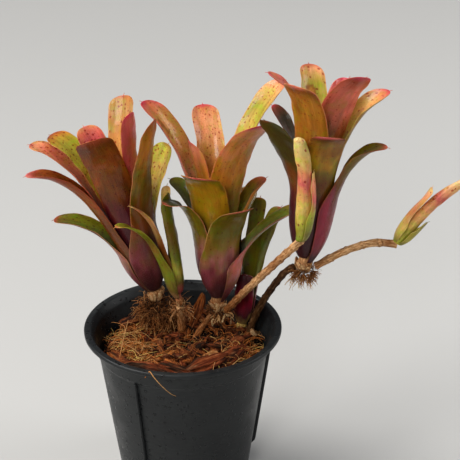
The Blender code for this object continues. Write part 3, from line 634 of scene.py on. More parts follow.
def closed_leaf(outer, inner, outer_tint, inner_tint, grain, inner_grain, marks):
    """One closed surface from two grids that share both margins and end in one point."""
    rows, columns = outer.shape[:2]
    body = (rows - 1) * columns
    front = np.arange(body).reshape(rows - 1, columns)
    back = front.copy()
    back[:, 1:-1] = body + np.arange((rows - 1) * (columns - 2)).reshape(rows - 1, columns - 2)
    tip = body + (rows - 1) * (columns - 2)

    def stack(a, b):
        """Outside rows, inside rows without their margins, and the one tip."""
        return np.vstack([a[:-1].reshape(-1, 3), b[:-1, 1:-1].reshape(-1, 3), a[-1, columns // 2][None]])

    def fan(row):
        """Triangles from the last row to the tip."""
        end = np.full(columns - 1, tip)
        return np.stack([row[:-1], row[1:], end, end], -1)

    foot = np.stack([front[0, 1:], front[0, :-1], back[0, :-1], back[0, 1:]], -1)
    foot[0] = [front[0, 1], front[0, 0], back[0, 1], back[0, 1]]
    foot[-1] = [front[0, -1], front[0, -2], back[0, -2], back[0, -2]]
    faces = np.vstack([
        quads(front), quads(back)[:, ::-1], fan(front[-1]), fan(back[-1])[:, [1, 0, 2, 3]], foot,
    ])
    return outward(Surface(stack(outer, inner), faces, stack(outer_tint, inner_tint),
                           stack(grain, inner_grain), stack(marks, marks)))


def outward(surface):
    """The same closed surface with its faces turned out: reversed if its volume is negative."""
    a, b, c, d = (surface.points[surface.faces[:, k]] for k in range(4))
    volume = np.sum(np.cross(a, b) * c) + np.sum(np.cross(a, c) * d)
    if volume > 0:
        return surface
    faces = surface.faces[:, [1, 0, 3, 2]].copy()
    triangle = surface.faces[:, 3] == surface.faces[:, 2]
    faces[triangle] = surface.faces[triangle][:, [1, 0, 2, 2]]
    return surface._replace(faces=faces)


def ring_numbers(leaves):
    """Ring of each leaf: one more than the ring of every earlier leaf that it overlaps."""
    rings = []
    for leaf in leaves:
        ring = 0
        for earlier, taken in zip(leaves, rings):
            gap = (leaf.azimuth - leaf.swing) - (earlier.azimuth - earlier.swing)
            if abs((gap + 180) % 360 - 180) < 2 * WRAP + 4:
                ring = max(ring, taken + 1)
        rings.append(ring)
    return rings


def make_leaves(finishes):
    """Every leaf and bract of every rosette and shoot, each standing for its own node."""
    for number, (prefix, (rosette_name, slot, entries)) in enumerate(LEAVES.items()):
        rings = ring_numbers([leaf for leaf, _ in entries])
        for k, ((leaf, look), ring) in enumerate(zip(entries, rings), start=1):
            node = prefix if len(entries) == 1 else f"{prefix}_{k}"
            seed = 1.7 * k + 23.0 * number
            surface = leaf_surface(ROSETTES[rosette_name], leaf, ring, look, seed, SCARS.get(node))
            stands_for(piece(f"{node}_blade", surface, finishes[slot]), slot, node)


# =========================== crowns, shoots, runners, roots ========================
def make_crown(name, rosette, leaves, colours, finish):
    """The short stem inside the leaf feet: a turned profile, ringed where old leaves were.

    Radius at height z is the straight profile times one plus a sawtooth of old leaf
    scars and a little noise.
    """
    top_ring = max(ring_numbers(leaves))
    top = FOOT_HEIGHT + FOOT_RISE * top_ring
    stem = rosette.crown - STEM_INSET - LEAF_THICKNESS / 2 - 0.2
    knots = np.array([
        [-rosette.root, 0.72 * (rosette.crown - ROOT_INSET)],
        [-0.7 * rosette.root, rosette.crown - ROOT_INSET], [-0.2, rosette.crown - 0.3],
        [1.0, stem], [top, stem - FOOT_STEP * top_ring], [top + 1.2, 0.3 * stem]])
    height = np.linspace(-rosette.root, top + 1.2, 46)
    radius = np.interp(height, knots[:, 0], knots[:, 1])
    angle = np.linspace(0.0, TAU, 40, endpoint=False)[None, :]
    z = height[:, None] + 0 * angle
    scars = 0.07 * np.mod(z / 1.7 + 0.12 * np.sin(angle), 1.0) * (z < 1.0)
    unit = turned_about(1.0, angle, z / 3.0)
    r = radius[:, None] * (1 + scars + 0.05 * fractal(unit * 2.3, rosette.base[0]) * (z < 1.0))
    grain = turned_about(r, angle, z)
    share = (height + rosette.root) / (top + rosette.root)
    tint = ramp(colours, share)[:, None, :] * (1 + 0.3 * fractal(unit * 3.1, 4))[..., None]
    surface = outward(closed_tube(place(rosette, grain), tint, grain))
    stands_for(piece(f"{name}_stem", surface, finish), "stems", name)


def make_shoot(name, rosette, sections, tip, bend, colours, finish):
    """A closed young shoot: rolled leaves round a gently bent axis.

    Radius at (height, angle) is the sections' smooth curve, stepped by one rolled leaf
    edge that climbs the shoot as a spiral, with a flattened rounded tip.
    """
    heights = np.array([h for h, _ in sections] + [tip])
    radii = np.array([r for _, r in sections] + [0.0])
    z = tip * (1 - (1 - np.linspace(0.012, 1.0, 74)) ** 1.35)
    dome = 1.35 * radii[-2]
    body = np.interp(z, heights[:-1], radii[:-1])
    body = np.convolve(np.pad(body, 4, mode="edge"), np.ones(9) / 9, "valid")
    body = np.minimum(body, dome * np.sqrt(1 - np.clip((z - tip + dome) / dome, 0, 0.999) ** 2))
    angle = np.linspace(0.0, TAU, 48, endpoint=False)[None, :]
    level = z[:, None] + 0 * angle
    turn = np.mod(angle / TAU + level / 27.0, 1.0)
    step = 0.42 * ease((turn - 0.03) / 0.05) * (1 - 0.85 * turn) * np.clip((tip - level) / 12, 0, 1)
    ribs = 0.05 * np.cos(9 * angle + level / 5)
    unit = turned_about(1.0, angle, level / 6.0)
    r = body[:, None] + (step + ribs + 0.14 * fractal(unit * 1.3, tip)) * np.clip(body[:, None] / 2, 0, 1)
    squash = 1 - 0.22 * ease((level - 0.55 * tip) / (0.3 * tip))
    x = r * np.cos(angle) + bend * (level / tip) ** 3
    rings = place(rosette, np.stack([x, r * np.sin(angle) * squash, level], -1))
    share = level / tip + 0.05 * fractal(unit * 2.0, 7)
    tint = ramp(colours, np.clip(share, 0, 1)) * (1 + 0.14 * fractal(unit * 3.0, 9))[..., None]
    marks = np.stack([0.15 + 0 * level, 0.3 * (1 - level / tip), 0 * level], -1)
    surface = outward(closed_tube(rings, tint, turned_about(r, angle, level), marks))
    stands_for(piece(f"{name}_body", surface, finish), name, name)


def make_runner(name, route, radius, spacing, colours, finish):
    """A runner: a tube along a smooth route, sheathed by papery scales.

    Radius at (length, angle) is the tube's, plus a sawtooth that rises to the free edge
    of each scale, whose edge runs round the tube as a wave, plus fine noise.
    """
    path = smooth_route(route, 110)
    length = np.r_[0.0, np.cumsum(np.linalg.norm(np.diff(path, axis=0), axis=1))]
    first, second = path_frames(path)
    angle = np.linspace(0.0, TAU, 22, endpoint=False)[None, :]
    level = length[:, None] + 0 * angle
    phase = np.mod(level / spacing + 0.16 * np.sin(angle + np.floor(level / spacing) * 2.4), 1.0)
    unit = turned_about(1.0, angle, level / 9.0)
    scale_edge = 0.17 * radius * phase ** 2 * (1 - ease((phase - 0.93) / 0.07))
    knots = 0.09 * radius * np.exp(-((np.mod(level / spacing + 0.5, 1.0) - 0.5) * spacing / 1.2) ** 2)
    r = 0.93 * radius + scale_edge + knots + 0.06 * radius * fractal(unit * 3.0, spacing)
    rings = (path[:, None, :] + (r * np.cos(angle))[..., None] * first[:, None, :]
             + (r * np.sin(angle))[..., None] * second[:, None, :])
    tint = ramp(colours, level / length[-1]) * (1 - 0.35 * ease((phase - 0.85) / 0.15)[..., None])
    tint = tint * (1 + 0.35 * fractal(unit * np.array([4, 4, 2.0]), 3))[..., None]
    surface = outward(closed_tube(rings, tint, turned_about(r, angle, level)))
    stands_for(piece(f"{name}_skin", surface, finish), "stems", name)


def hanging_roots(rng, count, start, spread, length, droop, radius, colours):
    """Thin roots from a ring of starts: each walks out and down with a smooth wander.

    A root's direction is its first bearing turned towards straight down as its length
    grows, plus noise along the way.
    """
    rows = 11
    turn = rng.uniform(0, TAU, count)
    rise = rng.uniform(-0.9, 0.25, count)
    bearing = np.stack([np.cos(turn), np.sin(turn), rise], -1)
    share = np.linspace(0, 1, rows)
    step = (length * rng.uniform(0.45, 1.0, count) / rows)[:, None, None]
    wander = rng.normal(0, 0.55, (count, rows, 3)).cumsum(1) / np.sqrt(np.arange(1, rows + 1))[None, :, None]
    heading = bearing[:, None, :] * (1 - share)[None, :, None] + wander * 0.8
    heading = heading + np.array([0, 0, -droop]) * share[None, :, None]
    heading /= np.linalg.norm(heading, axis=-1, keepdims=True)
    origin = np.array(start) + bearing * np.array(spread)
    paths = origin[:, None, :] + np.cumsum(heading * step, 1)
    thick = radius * rng.uniform(0.6, 1.2, count)[:, None] * (1 - 0.65 * share)[None, :]
    place_in_ramp = np.clip(rng.uniform(0, 0.6, count)[:, None] + 0.5 * share[None, :], 0, 1)
    return paths, thick, ramp(colours, place_in_ramp)


# =========================== pot ===================================================
# Outside radii from the base up: base, top of the taper, collar, under the lip, rim
POT_BASE_RADIUS, POT_SHOULDER_RADIUS, POT_COLLAR_RADIUS = 34.7, 45.2, 46.2
POT_NECK_RADIUS, POT_RIM_RADIUS = 47.8, 52.5
POT_HEIGHT, POT_COLLAR_HEIGHT, LIP_HEIGHT = 90.0, 77.0, 2.4
POT_WALL, POT_FLOOR = 1.2, 1.6
FLOOR_INSET = 0.9                          # of the floor's top inside its underside
DRAIN_HOLES, DRAIN_RADIUS, DRAIN_CIRCLE = 8, 3.2, 24.0
DRAIN_BAND = (14.0, 33.6)                  # radii of the floor's ring that holds the holes
SECTOR_STEPS = 24
RIB_AZIMUTHS = (-120.0, 0.0, 120.0)
RIB_BOTTOM, RIB_PROUD, RIB_THICKNESS = 15.0, 2.0, 1.2


def pot_wall_radius(height):
    """Outside radius of the tapering wall below the collar."""
    return POT_BASE_RADIUS + (POT_SHOULDER_RADIUS - POT_BASE_RADIUS) * height / POT_COLLAR_HEIGHT


def rounded(corners, radius):
    """An open outline whose inner corners are replaced by quadratic curves of one reach."""
    corners = np.array(corners, float)
    out = [corners[:1]]
    t = np.linspace(0, 1, 5)[:, None]
    for a, b, c in zip(corners[:-2], corners[1:-1], corners[2:]):
        first, second = a - b, c - b
        near, far = np.linalg.norm(first), np.linalg.norm(second)
        start = b + first / near * min(radius, 0.45 * near)
        end = b + second / far * min(radius, 0.45 * far)
        out.append((1 - t) ** 2 * start + 2 * t * (1 - t) * b + t ** 2 * end)
    return np.vstack(out + [corners[-1:]])


def pot_profile():
    """(radius, height) down the outside from the floor's edge, over the lip and back inside."""
    lip = POT_HEIGHT - LIP_HEIGHT
    outline = [
        (DRAIN_BAND[1], 0.0), (POT_BASE_RADIUS, 0.0), (POT_SHOULDER_RADIUS, POT_COLLAR_HEIGHT),
        (POT_COLLAR_RADIUS, POT_COLLAR_HEIGHT + 1.0), (POT_NECK_RADIUS, lip), (POT_RIM_RADIUS, lip),
        (POT_RIM_RADIUS, POT_HEIGHT), (POT_NECK_RADIUS + 1.2, POT_HEIGHT),
        (POT_NECK_RADIUS - POT_WALL, lip - 1.4), (POT_SHOULDER_RADIUS - POT_WALL, POT_COLLAR_HEIGHT),
        (POT_BASE_RADIUS - POT_WALL + 0.4, POT_FLOOR),
        (DRAIN_BAND[1] - FLOOR_INSET, POT_FLOOR),
    ]
    return rounded(outline, 0.9)


def weld(points, faces):
    """Points that coincide to a thousandth of a millimetre made one."""
    _, first, number = np.unique(np.round(points, 3), axis=0, return_index=True, return_inverse=True)
    return points[first], number.reshape(-1)[faces]


def make_pot(finish):
    """The pot: one profile turned about Z, and a floor of eight sectors, each with a drain hole.

    A sector is a grid of (way round the hole, way out from it): it runs from the hole's
    circle to the sector's four sides, first underneath and then on top.
    """
    sides = DRAIN_HOLES * SECTOR_STEPS
    angle = np.arange(sides) / SECTOR_STEPS * TAU / DRAIN_HOLES
    profile = pot_profile()
    wall = np.stack([profile[:, :1] * np.cos(angle), profile[:, :1] * np.sin(angle),
                     np.repeat(profile[:, 1:], sides, 1)], -1)
    points, faces = [wall.reshape(-1, 3)], [ring_faces(len(profile), sides)]

    edge = np.linspace(-1, 1, SECTOR_STEPS + 1)[:-1]
    one = np.ones(SECTOR_STEPS)
    square = np.concatenate([
        np.stack(side, 1) for side in ((one, edge), (-edge, one), (-one, -edge), (edge, -one))])
    bearing = np.arctan2(square[:, 1], square[:, 0])
    inner, outer = DRAIN_BAND
    start = sum(len(p) for p in points)
    for middle in (np.arange(DRAIN_HOLES) + 0.5) * TAU / DRAIN_HOLES:
        turn = middle + square[:, 1] * np.pi / DRAIN_HOLES
        base = middle + bearing
        centre = DRAIN_CIRCLE * np.array([np.cos(middle), np.sin(middle)])
        rows = []
        for low, share_out in ((0.0, 1.0), (0.0, 0.0), (POT_FLOOR, 0.0), (POT_FLOOR, 1.0)):
            reach = inner + (outer - (FLOOR_INSET if low else 0.0) - inner) * (square[:, 0] + 1) / 2
            side = np.stack([reach * np.cos(turn), reach * np.sin(turn)], 1)
            hole = centre + DRAIN_RADIUS * np.stack([np.cos(base), np.sin(base)], 1)
            flat = side * share_out + hole * (1 - share_out)
            rows.append(np.hstack([flat, np.full((len(flat), 1), low)]))
        points.append(np.vstack(rows))
        faces.append(ring_faces(4, len(square)) + start)
        start += 4 * len(square)
    for low in (0.0, POT_FLOOR):
        disc = np.stack([inner * np.cos(angle), inner * np.sin(angle), 0 * angle + low], 1)
        points.append(np.vstack([disc, [[0, 0, low]]]))
        faces.append(cap_faces(np.arange(sides), sides, low > 0)[:, [1, 0, 2, 3]] + start)
        start += sides + 1
    points, faces = weld(np.vstack(points), np.vstack(faces))
    shell = Surface(points, faces, np.full(points.shape, 0.5), points, np.zeros(points.shape))
    stands_for(piece("pot_shell", outward(shell), finish), "pot", "pot")
    for number, azimuth in enumerate(RIB_AZIMUTHS, start=1):
        stands_for(piece(f"pot_rib_{number}", pot_rib(np.radians(azimuth)), finish), "pot")


def pot_rib(azimuth):
    """An upright fin on the wall: a half-round thickness carried up along the taper.

    Its section is a capsule, proud by up to RIB_PROUD, that shrinks into the wall at the foot.
    """
    top = POT_COLLAR_HEIGHT + 0.6
    height = np.linspace(RIB_BOTTOM, top, 40)
    proud = RIB_PROUD * ease((height - RIB_BOTTOM) / 2.5 + 0.12)
    turn = np.linspace(-np.pi / 2, np.pi / 2, 9)
    out = np.r_[-0.6, 0.4 + 0.6 * np.cos(turn), -0.6]
    side = np.r_[-1.0, np.sin(turn), 1.0] * RIB_THICKNESS / 2
    reach = pot_wall_radius(height)[:, None] + np.where(out > 0, out * proud[:, None], out)
    x = reach * np.cos(azimuth) - side * np.sin(azimuth)
    y = reach * np.sin(azimuth) + side * np.cos(azimuth)
    rings = np.stack([x, y, np.repeat(height[:, None], len(side), 1)], -1)
    return outward(closed_tube(rings, (0.5, 0.5, 0.5), rings))


# =========================== potting mix ===========================================
MIX_EDGE_HEIGHT, MIX_MOUND, MIX_LOW = 74.5, 4.0, 60.0
MIX_RADIUS = POT_SHOULDER_RADIUS - POT_WALL - 1.0
CHIP_COUNT, FIBRE_COUNT = 300, 1150
BUNCH_AZIMUTHS = (196, -42)                # where half of the loose fibres gather


def mix_height(x, y):
    """Height of the mix: a low mound with ridged lumps of chips and crumbs."""
    reach = np.hypot(x, y) / MIX_RADIUS
    flat = np.stack([x, y, 0 * x], -1)
    lumps = 2.0 * fractal(flat / 9.0, 2.0) + 1.5 * (1 - 2 * np.abs(noise(flat / 3.4, 8.0)))
    return MIX_EDGE_HEIGHT - 0.3 + MIX_MOUND * (1 - reach ** 2) + lumps * (1 - 0.6 * reach ** 4)


def make_mix(finish):
    """The filling: a disc of rings under the mound's height, closed by a skirt and a base."""
    rings, sides = 64, 190
    angle = np.linspace(0, TAU, sides, endpoint=False)
    radius = MIX_RADIUS * np.linspace(1.0, 0.012, rings)[:, None]
    x, y = radius * np.cos(angle), radius * np.sin(angle)
    top = np.stack([x, y, mix_height(x, y)], -1)
    skirt = np.stack([x[0] * 0.93, y[0] * 0.93, np.full(sides, MIX_LOW)], -1)
    base = skirt * [0.02, 0.02, 1.0]
    all_rings = np.concatenate([base[None], skirt[None], top])
    tone = np.clip(0.5 + 0.5 * fractal(all_rings / 2.6, 5.0), 0, 1)
    tint = ramp("mix_dark 0 mix_dark .55 rust_bark .85 husk 1", tone)
    surface = outward(closed_tube(all_rings, tint, all_rings))
    stands_for(piece("mix_mound", surface, finish), "potting_mix", "potting_mix")


def chip(centre, size, turn, seed, colours, rows, sides):
    """One husk chip: a rounded block with lengthwise fibre ridges and torn ends.

    Its section is a superellipse that swells along its length as a sine root; ridges
    run along it as noise that changes quickly across and slowly along.
    """
    s = np.linspace(0.02, 0.98, rows)[:, None]
    angle = np.linspace(0, TAU, sides, endpoint=False)[None, :]
    swell = np.sin(np.pi * s) ** 0.35
    cos_a, sin_a = np.cos(angle), np.sin(angle)
    y = np.sign(cos_a) * np.abs(cos_a) ** 0.6 * swell
    z = np.sign(sin_a) * np.abs(sin_a) ** 0.75 * swell
    unit = np.stack([cos_a + 0 * s, sin_a + 0 * s, 2.2 * s + 0 * angle], -1)
    ridges = 0.24 * fractal(unit * np.array([3.4, 3.4, 1.1]), seed)
    big = 0.22 * fractal(unit * 0.9, seed + 3)
    local = np.stack([
        (s - 0.5) * 2 + 0.18 * fractal(unit * np.array([2.5, 2.5, 0.2]), seed + 1) * (2 * s - 1),
        y * (1 + ridges + big), z * (1 + ridges + big) + 0.35 * (2 * s - 1) ** 2 + 0 * angle], -1) * size
    rings = local @ turn.T + np.array(centre, float)
    tone = np.clip(0.5 + 0.55 * fractal(unit * np.array([3, 3, 0.8]), seed + 6), 0, 1)
    grain = np.stack([size[1] * cos_a + 0 * s, size[2] * sin_a + 0 * s, size[0] * 2 * s + 0 * angle], -1)
    return outward(closed_tube(rings, ramp(colours, tone), grain + 31.0 * seed))


def turned(yaw, pitch, roll):
    """Rotation matrix: roll about x, then pitch about y, then yaw about z, in degrees."""
    a, b, c = np.radians([yaw, pitch, roll])
    about_z = np.array([[np.cos(a), -np.sin(a), 0], [np.sin(a), np.cos(a), 0], [0, 0, 1]])
    about_y = np.array([[np.cos(b), 0, np.sin(b)], [0, 1, 0], [-np.sin(b), 0, np.cos(b)]])
    about_x = np.array([[1, 0, 0], [0, np.cos(c), -np.sin(c)], [0, np.sin(c), np.cos(c)]])
    return about_z @ about_y @ about_x


# The last tone is the pale one, for old leaf feet and the lump of a cut root
CHIP_TONES = (
    "mix_dark 0 dark_bark .25 chip_red .6 rust_bark 1", "mix_dark 0 rust_bark .5 husk 1",
    "dark_bark 0 rust_bark .3 chip_orange .75 tan 1", "mix_dark 0 dark_bark .4 chip_red .8 rust_bark 1",
    "skin_dark 0 skin .5 root_pale 1")
# The chips that stand proud: name, centre, half sizes, yaw pitch roll and tone
BIG_CHIPS = (
    ("chip_front_left", (-17, -36, 80.5), (14, 6.0, 3.4), (-14, 4, 18), 0),
    ("chip_front_centre", (-3, -33.5, 81.0), (10, 4.2, 3.2), (-22, 6, -8), 0),
    ("chip_front_right", (12.5, -29, 81.5), (11.5, 4.6, 3.6), (28, -8, 12), 0),
    ("chip_right", (24, -21, 80.5), (10, 4.6, 3.4), (44, -8, 10), 0),
    ("sliver_upright", (7.6, 12.5, 91.5), (9.5, 2.4, 1.1), (40, -64, 20), 2),
    ("chip_left", (-33, -20, 78.5), (9, 4.5, 2.6), (-55, 2, 8), 2),
    ("chip_back_left", (-28, 22, 79.0), (8, 4.0, 2.8), (30, 0, 10), 1),
    ("pale_lump", (37.5, 7.5, 80.5), (2.4, 1.5, 1.2), (10, 55, 0), 4),
    ("chip_back_right", (12, 34, 78.5), (8, 3.6, 2.6), (-20, 4, 0), 3),
)


def make_chips(rng, finish):
    """Big chips by name, then small ones strewn over the mound, clear of the front runner."""
    for name, centre, size, angles, tone in BIG_CHIPS:
        seed = len(name) + centre[0]
        surface = chip(centre, np.array(size), turned(*angles), seed, CHIP_TONES[tone], 46, 44)
        stands_for(piece(name, surface, finish), "potting_mix")
    reach = (MIX_RADIUS - 5) * np.sqrt(rng.uniform(0, 1, CHIP_COUNT))
    turn = rng.uniform(0, TAU, CHIP_COUNT)
    x, y = reach * np.cos(turn), reach * np.sin(turn)
    z = mix_height(x, y)
    clear = (np.abs(x - 7.5) > 7.5) | (np.abs(y - 0.9 * x + 3) > 5)
    size = rng.uniform(0.55, 1.0, (CHIP_COUNT, 3)) * [5.6, 3.0, 1.9]
    size = size * rng.uniform(0.45, 1.35, (CHIP_COUNT, 1))
    angles = rng.uniform(-1, 1, (CHIP_COUNT, 3)) * [180, 38, 60]
    small = [
        chip((x[k], y[k], z[k] + 0.4), size[k], turned(*angles[k]), 50 + k, CHIP_TONES[k % 4], 9, 9)
        for k in np.flatnonzero(clear)
    ]
    stands_for(piece("chips_small", merged(small), finish), "potting_mix")


def make_fibres(rng, finish):
    """Loose husk fibres: short curls that start on the mound, half of them in two bunches.

    Each is a circle's arc in a tilted plane, with noise, of a random length.
    """
    count, rows = FIBRE_COUNT, 10
    bunch = rng.uniform(0, 1, count) < 0.5
    side = np.where(rng.uniform(0, 1, count) < 0.68, *np.radians(BUNCH_AZIMUTHS))
    reach = np.where(bunch, rng.uniform(24, 42, count), (MIX_RADIUS - 4) * np.sqrt(rng.uniform(0, 1, count)))
    turn = np.where(bunch, side + rng.normal(0, 0.40, count), rng.uniform(0, TAU, count))
    x, y = reach * np.cos(turn), reach * np.sin(turn)
    start = np.stack([x, y, mix_height(x, y) + rng.uniform(-0.6, np.where(bunch, 5.0, 2.4), count)], 1)
    bearing = np.where(bunch, rng.normal(0.5, 0.5, count), rng.uniform(0, TAU, count))
    curl = rng.normal(0, 1.3, count)
    lift = rng.uniform(-0.05, 0.75, count)
    length = rng.uniform(4, 15, count) * np.where(bunch, 1.25, 1.0)
    s = np.linspace(0, 1, rows)
    heading = bearing[:, None] + curl[:, None] * s + rng.normal(0, 0.2, (count, rows)).cumsum(1)
    climb = lift[:, None] * (1 - 1.9 * s) + 0 * heading
    step = np.stack([np.cos(heading) * np.cos(climb), np.sin(heading) * np.cos(climb), np.sin(climb)], -1)
    paths = start[:, None, :] + np.cumsum(step, 1) * (length / rows)[:, None, None]
    far = np.hypot(paths[..., 0], paths[..., 1])
    wall = MIX_RADIUS - 0.4 + np.clip(0.35 * (paths[..., 2] - 78), 0, 2.4)
    limit = np.minimum(1.0, wall / np.maximum(far, 1e-6))
    paths[..., :2] *= limit[..., None]
    thick = rng.uniform(0.07, 0.24, count)[:, None] * (1 - 0.5 * s)[None, :]
    light = np.where(bunch, rng.uniform(0.3, 1, count), rng.uniform(0, 0.9, count))
    tints = ramp("rust_bark 0 husk .25 chip_orange .5 tan .75 straw 1", light[:, None] + 0 * s)
    stands_for(piece("fibres_loose", strands(paths, thick, tints, 4), finish), "potting_mix")


# Long single fibres: name, route points and radius
LONG_FIBRES = (
    ("fibre_over_rim", ((-19, -41, 80), (-16.5, -46, 87), (-14.8, -50.6, 91.2), (-12.6, -53.4, 89.6),
                        (-8.5, -53.9, 84.5), (-4.5, -52.4, 79.5), (-2.0, -50.6, 77.0)), 0.26),
    ("fibre_tall_left", ((-33, -21, 78), (-31, -17, 88), (-28, -12, 99)), 0.3),
    ("fibre_left_loop", ((-40, -6, 79), (-36, -12, 86), (-27, -14, 84), (-20, -20, 81)), 0.24),
    ("fibre_front_right", ((20, -37, 79), (26, -31, 83), (31, -24, 84)), 0.3),
)


def make_long_fibres(finish):
    """The few long single fibres, each a thin tube along its own smooth route."""
    for name, route, radius in LONG_FIBRES:
        path = smooth_route(route, 40)[None]
        thick = radius * (1 - 0.6 * np.linspace(0, 1, 40) ** 2)[None]
        tints = ramp("chip_orange 0 tan .5 tan 1", np.linspace(0, 1, 40))[None]
        stands_for(piece(name, strands(path, thick, tints, 8), finish), "potting_mix")


# =========================== materials =============================================
class Graph:
    """A node tree whose nodes are added with their inputs in one call."""

    def __init__(self, tree):
        self.tree = tree

    def add(self, kind, inputs=None, **settings):
        """A node with its settings; an input is linked if it is a socket, else set."""
        node = self.tree.nodes.new(kind)
        for name, value in settings.items():
            setattr(node, name, value)
        for key, value in (inputs or {}).items():
            if isinstance(value, bpy.types.NodeSocket):
                self.tree.links.new(value, node.inputs[key])
            else:
                node.inputs[key].default_value = value
        return node

    def math(self, operation, a, b=0.5, clamp=False):
        """One operation on two numbers."""
        return self.add("ShaderNodeMath", {0: a, 1: b}, operation=operation, use_clamp=clamp).outputs[0]

    def vector(self, operation, a, b):
        """One operation on two vectors."""
        return self.add("ShaderNodeVectorMath", {0: a, 1: b}, operation=operation).outputs[0]

    def mix(self, share, a, b, blend="MIX"):
        """Colour a with a share of colour b blended in."""
        node = self.add("ShaderNodeMix", {0: share, 6: a, 7: b}, data_type="RGBA", blend_type=blend)
        return node.outputs[2]

    def span(self, value, low, high, out_low=0.0, out_high=1.0):
        """Value from low..high to out_low..out_high, eased at both ends."""
        inputs = {0: value, 1: low, 2: high, 3: out_low, 4: out_high}
        return self.add("ShaderNodeMapRange", inputs, interpolation_type="SMOOTHSTEP").outputs[0]

    def noise(self, where, scale, detail=2.0, roughness=0.5):
        """Layered noise from 0 to 1, read at a place."""
        inputs = {"Vector": where, "Scale": scale, "Detail": detail, "Roughness": roughness}
        return self.add("ShaderNodeTexNoise", inputs).outputs["Fac"]

    def read(self, name):
        """The node that reads one of the surface's attributes."""
        return self.add("ShaderNodeAttribute", attribute_name=name, attribute_type="GEOMETRY")

    def split(self, vector):
        """A vector's three numbers."""
        return self.add("ShaderNodeSeparateXYZ", {0: vector}).outputs


def effect(name, inputs, outputs):
    """An empty node group with named sockets: returns the group, its graph, inputs and output node."""
    group = bpy.data.node_groups.new(name, "ShaderNodeTree")
    for direction, sockets in (("INPUT", inputs), ("OUTPUT", outputs)):
        for socket, kind in sockets:
            group.interface.new_socket(name=socket, in_out=direction, socket_type=f"NodeSocket{kind}")
    graph = Graph(group)
    return group, graph, graph.add("NodeGroupInput").outputs, graph.add("NodeGroupOutput")


def streaks_effect():
    """Fine lines along the growth: noise on the grain, stretched lengthwise."""
    group, graph, into, out = effect(
        "streaks", [("Grain", "Vector"), ("Fineness", "Float"), ("Stretch", "Float")],
        [("Lines", "Float"), ("Broad", "Float")])
    parts = graph.split(into["Grain"])
    along = graph.math("DIVIDE", parts[2], into["Stretch"])
    where = graph.add("ShaderNodeCombineXYZ", {0: parts[0], 1: parts[1], 2: along}).outputs[0]
    fine = graph.noise(where, into["Fineness"], 3.0, 0.6)
    broad = graph.noise(where, graph.math("MULTIPLY", into["Fineness"], 0.22), 2.0)
    graph.tree.links.new(graph.span(fine, 0.25, 0.75), out.inputs["Lines"])
    graph.tree.links.new(graph.span(broad, 0.25, 0.75), out.inputs["Broad"])
    return group


def spots_effect():
    """Round spots in random cells: each cell's own number decides if it has one and how big."""
    group, graph, into, out = effect(
        "spots", [("Grain", "Vector"), ("Share", "Float"), ("Cell", "Float")], [("Mask", "Float")])
    scaled = graph.vector("DIVIDE", into["Grain"], into["Cell"])
    wobble = graph.add("ShaderNodeTexNoise", {"Vector": scaled, "Scale": 3.0}).outputs["Color"]
    ragged = graph.vector("ADD", scaled, graph.vector("MULTIPLY", wobble, (0.5, 0.5, 0.5)))
    cells = graph.add("ShaderNodeTexVoronoi", {"Vector": ragged, "Scale": 1.0, "Randomness": 0.9}).outputs
    chance = graph.split(cells["Color"])
    size = graph.math("MULTIPLY_ADD", chance[1], 0.22)
    size.node.inputs[2].default_value = 0.13
    present = graph.math("LESS_THAN", chance[0], into["Share"])
    inside = graph.math("SUBTRACT", size, cells["Distance"])
    mask = graph.math("MULTIPLY", graph.span(inside, -0.02, 0.07), present)
    graph.tree.links.new(mask, out.inputs["Mask"])
    return group


def crumbs_effect():
    """Irregular fine surface: two sizes of noise, as a tone and as a height."""
    group, graph, into, out = effect(
        "crumbs", [("Place", "Vector"), ("Fineness", "Float")], [("Tone", "Float"), ("Height", "Float")])
    coarse = graph.noise(into["Place"], into["Fineness"], 4.0, 0.62)
    fine = graph.noise(into["Place"], graph.math("MULTIPLY", into["Fineness"], 5.0), 3.0, 0.6)
    graph.tree.links.new(graph.span(coarse, 0.3, 0.7), out.inputs["Tone"])
    graph.tree.links.new(graph.math("ADD", coarse, graph.math("MULTIPLY", fine, 0.35)), out.inputs["Height"])
    return group


def finish_of(name):
    """A new material with its graph and its Principled node."""
    made = bpy.data.materials.new(name)
    made.use_nodes = True
    return made, Graph(made.node_tree), made.node_tree.nodes["Principled BSDF"]


def plug(graph, shader, **sockets):
    """Link or set the shader's inputs; an underscore in a name stands for a space."""
    for name, value in sockets.items():
        socket = shader.inputs[name.replace("_", " ")]
        if isinstance(value, bpy.types.NodeSocket):
            graph.tree.links.new(value, socket)
        else:
            socket.default_value = value


def use(graph, group, **inputs):
    """Outputs of a shared group, placed in a material with its inputs set by name."""
    return graph.add("ShaderNodeGroup", inputs, node_tree=group).outputs


def colour(name):
    """A palette colour as a socket's value."""
    return (*display_to_linear(PALETTE[name]), 1.0)


# What each effect multiplies a leaf's own colour by
VEIN, OLIVE_CAST, WARM_CAST = (0.50, 0.46, 0.30, 1.0), (0.62, 0.98, 0.34, 1.0), (0.84, 0.48, 0.36, 1.0)
SPOT, SPECK = (0.44, 0.13, 0.11, 1.0), (0.52, 0.26, 0.16, 1.0)


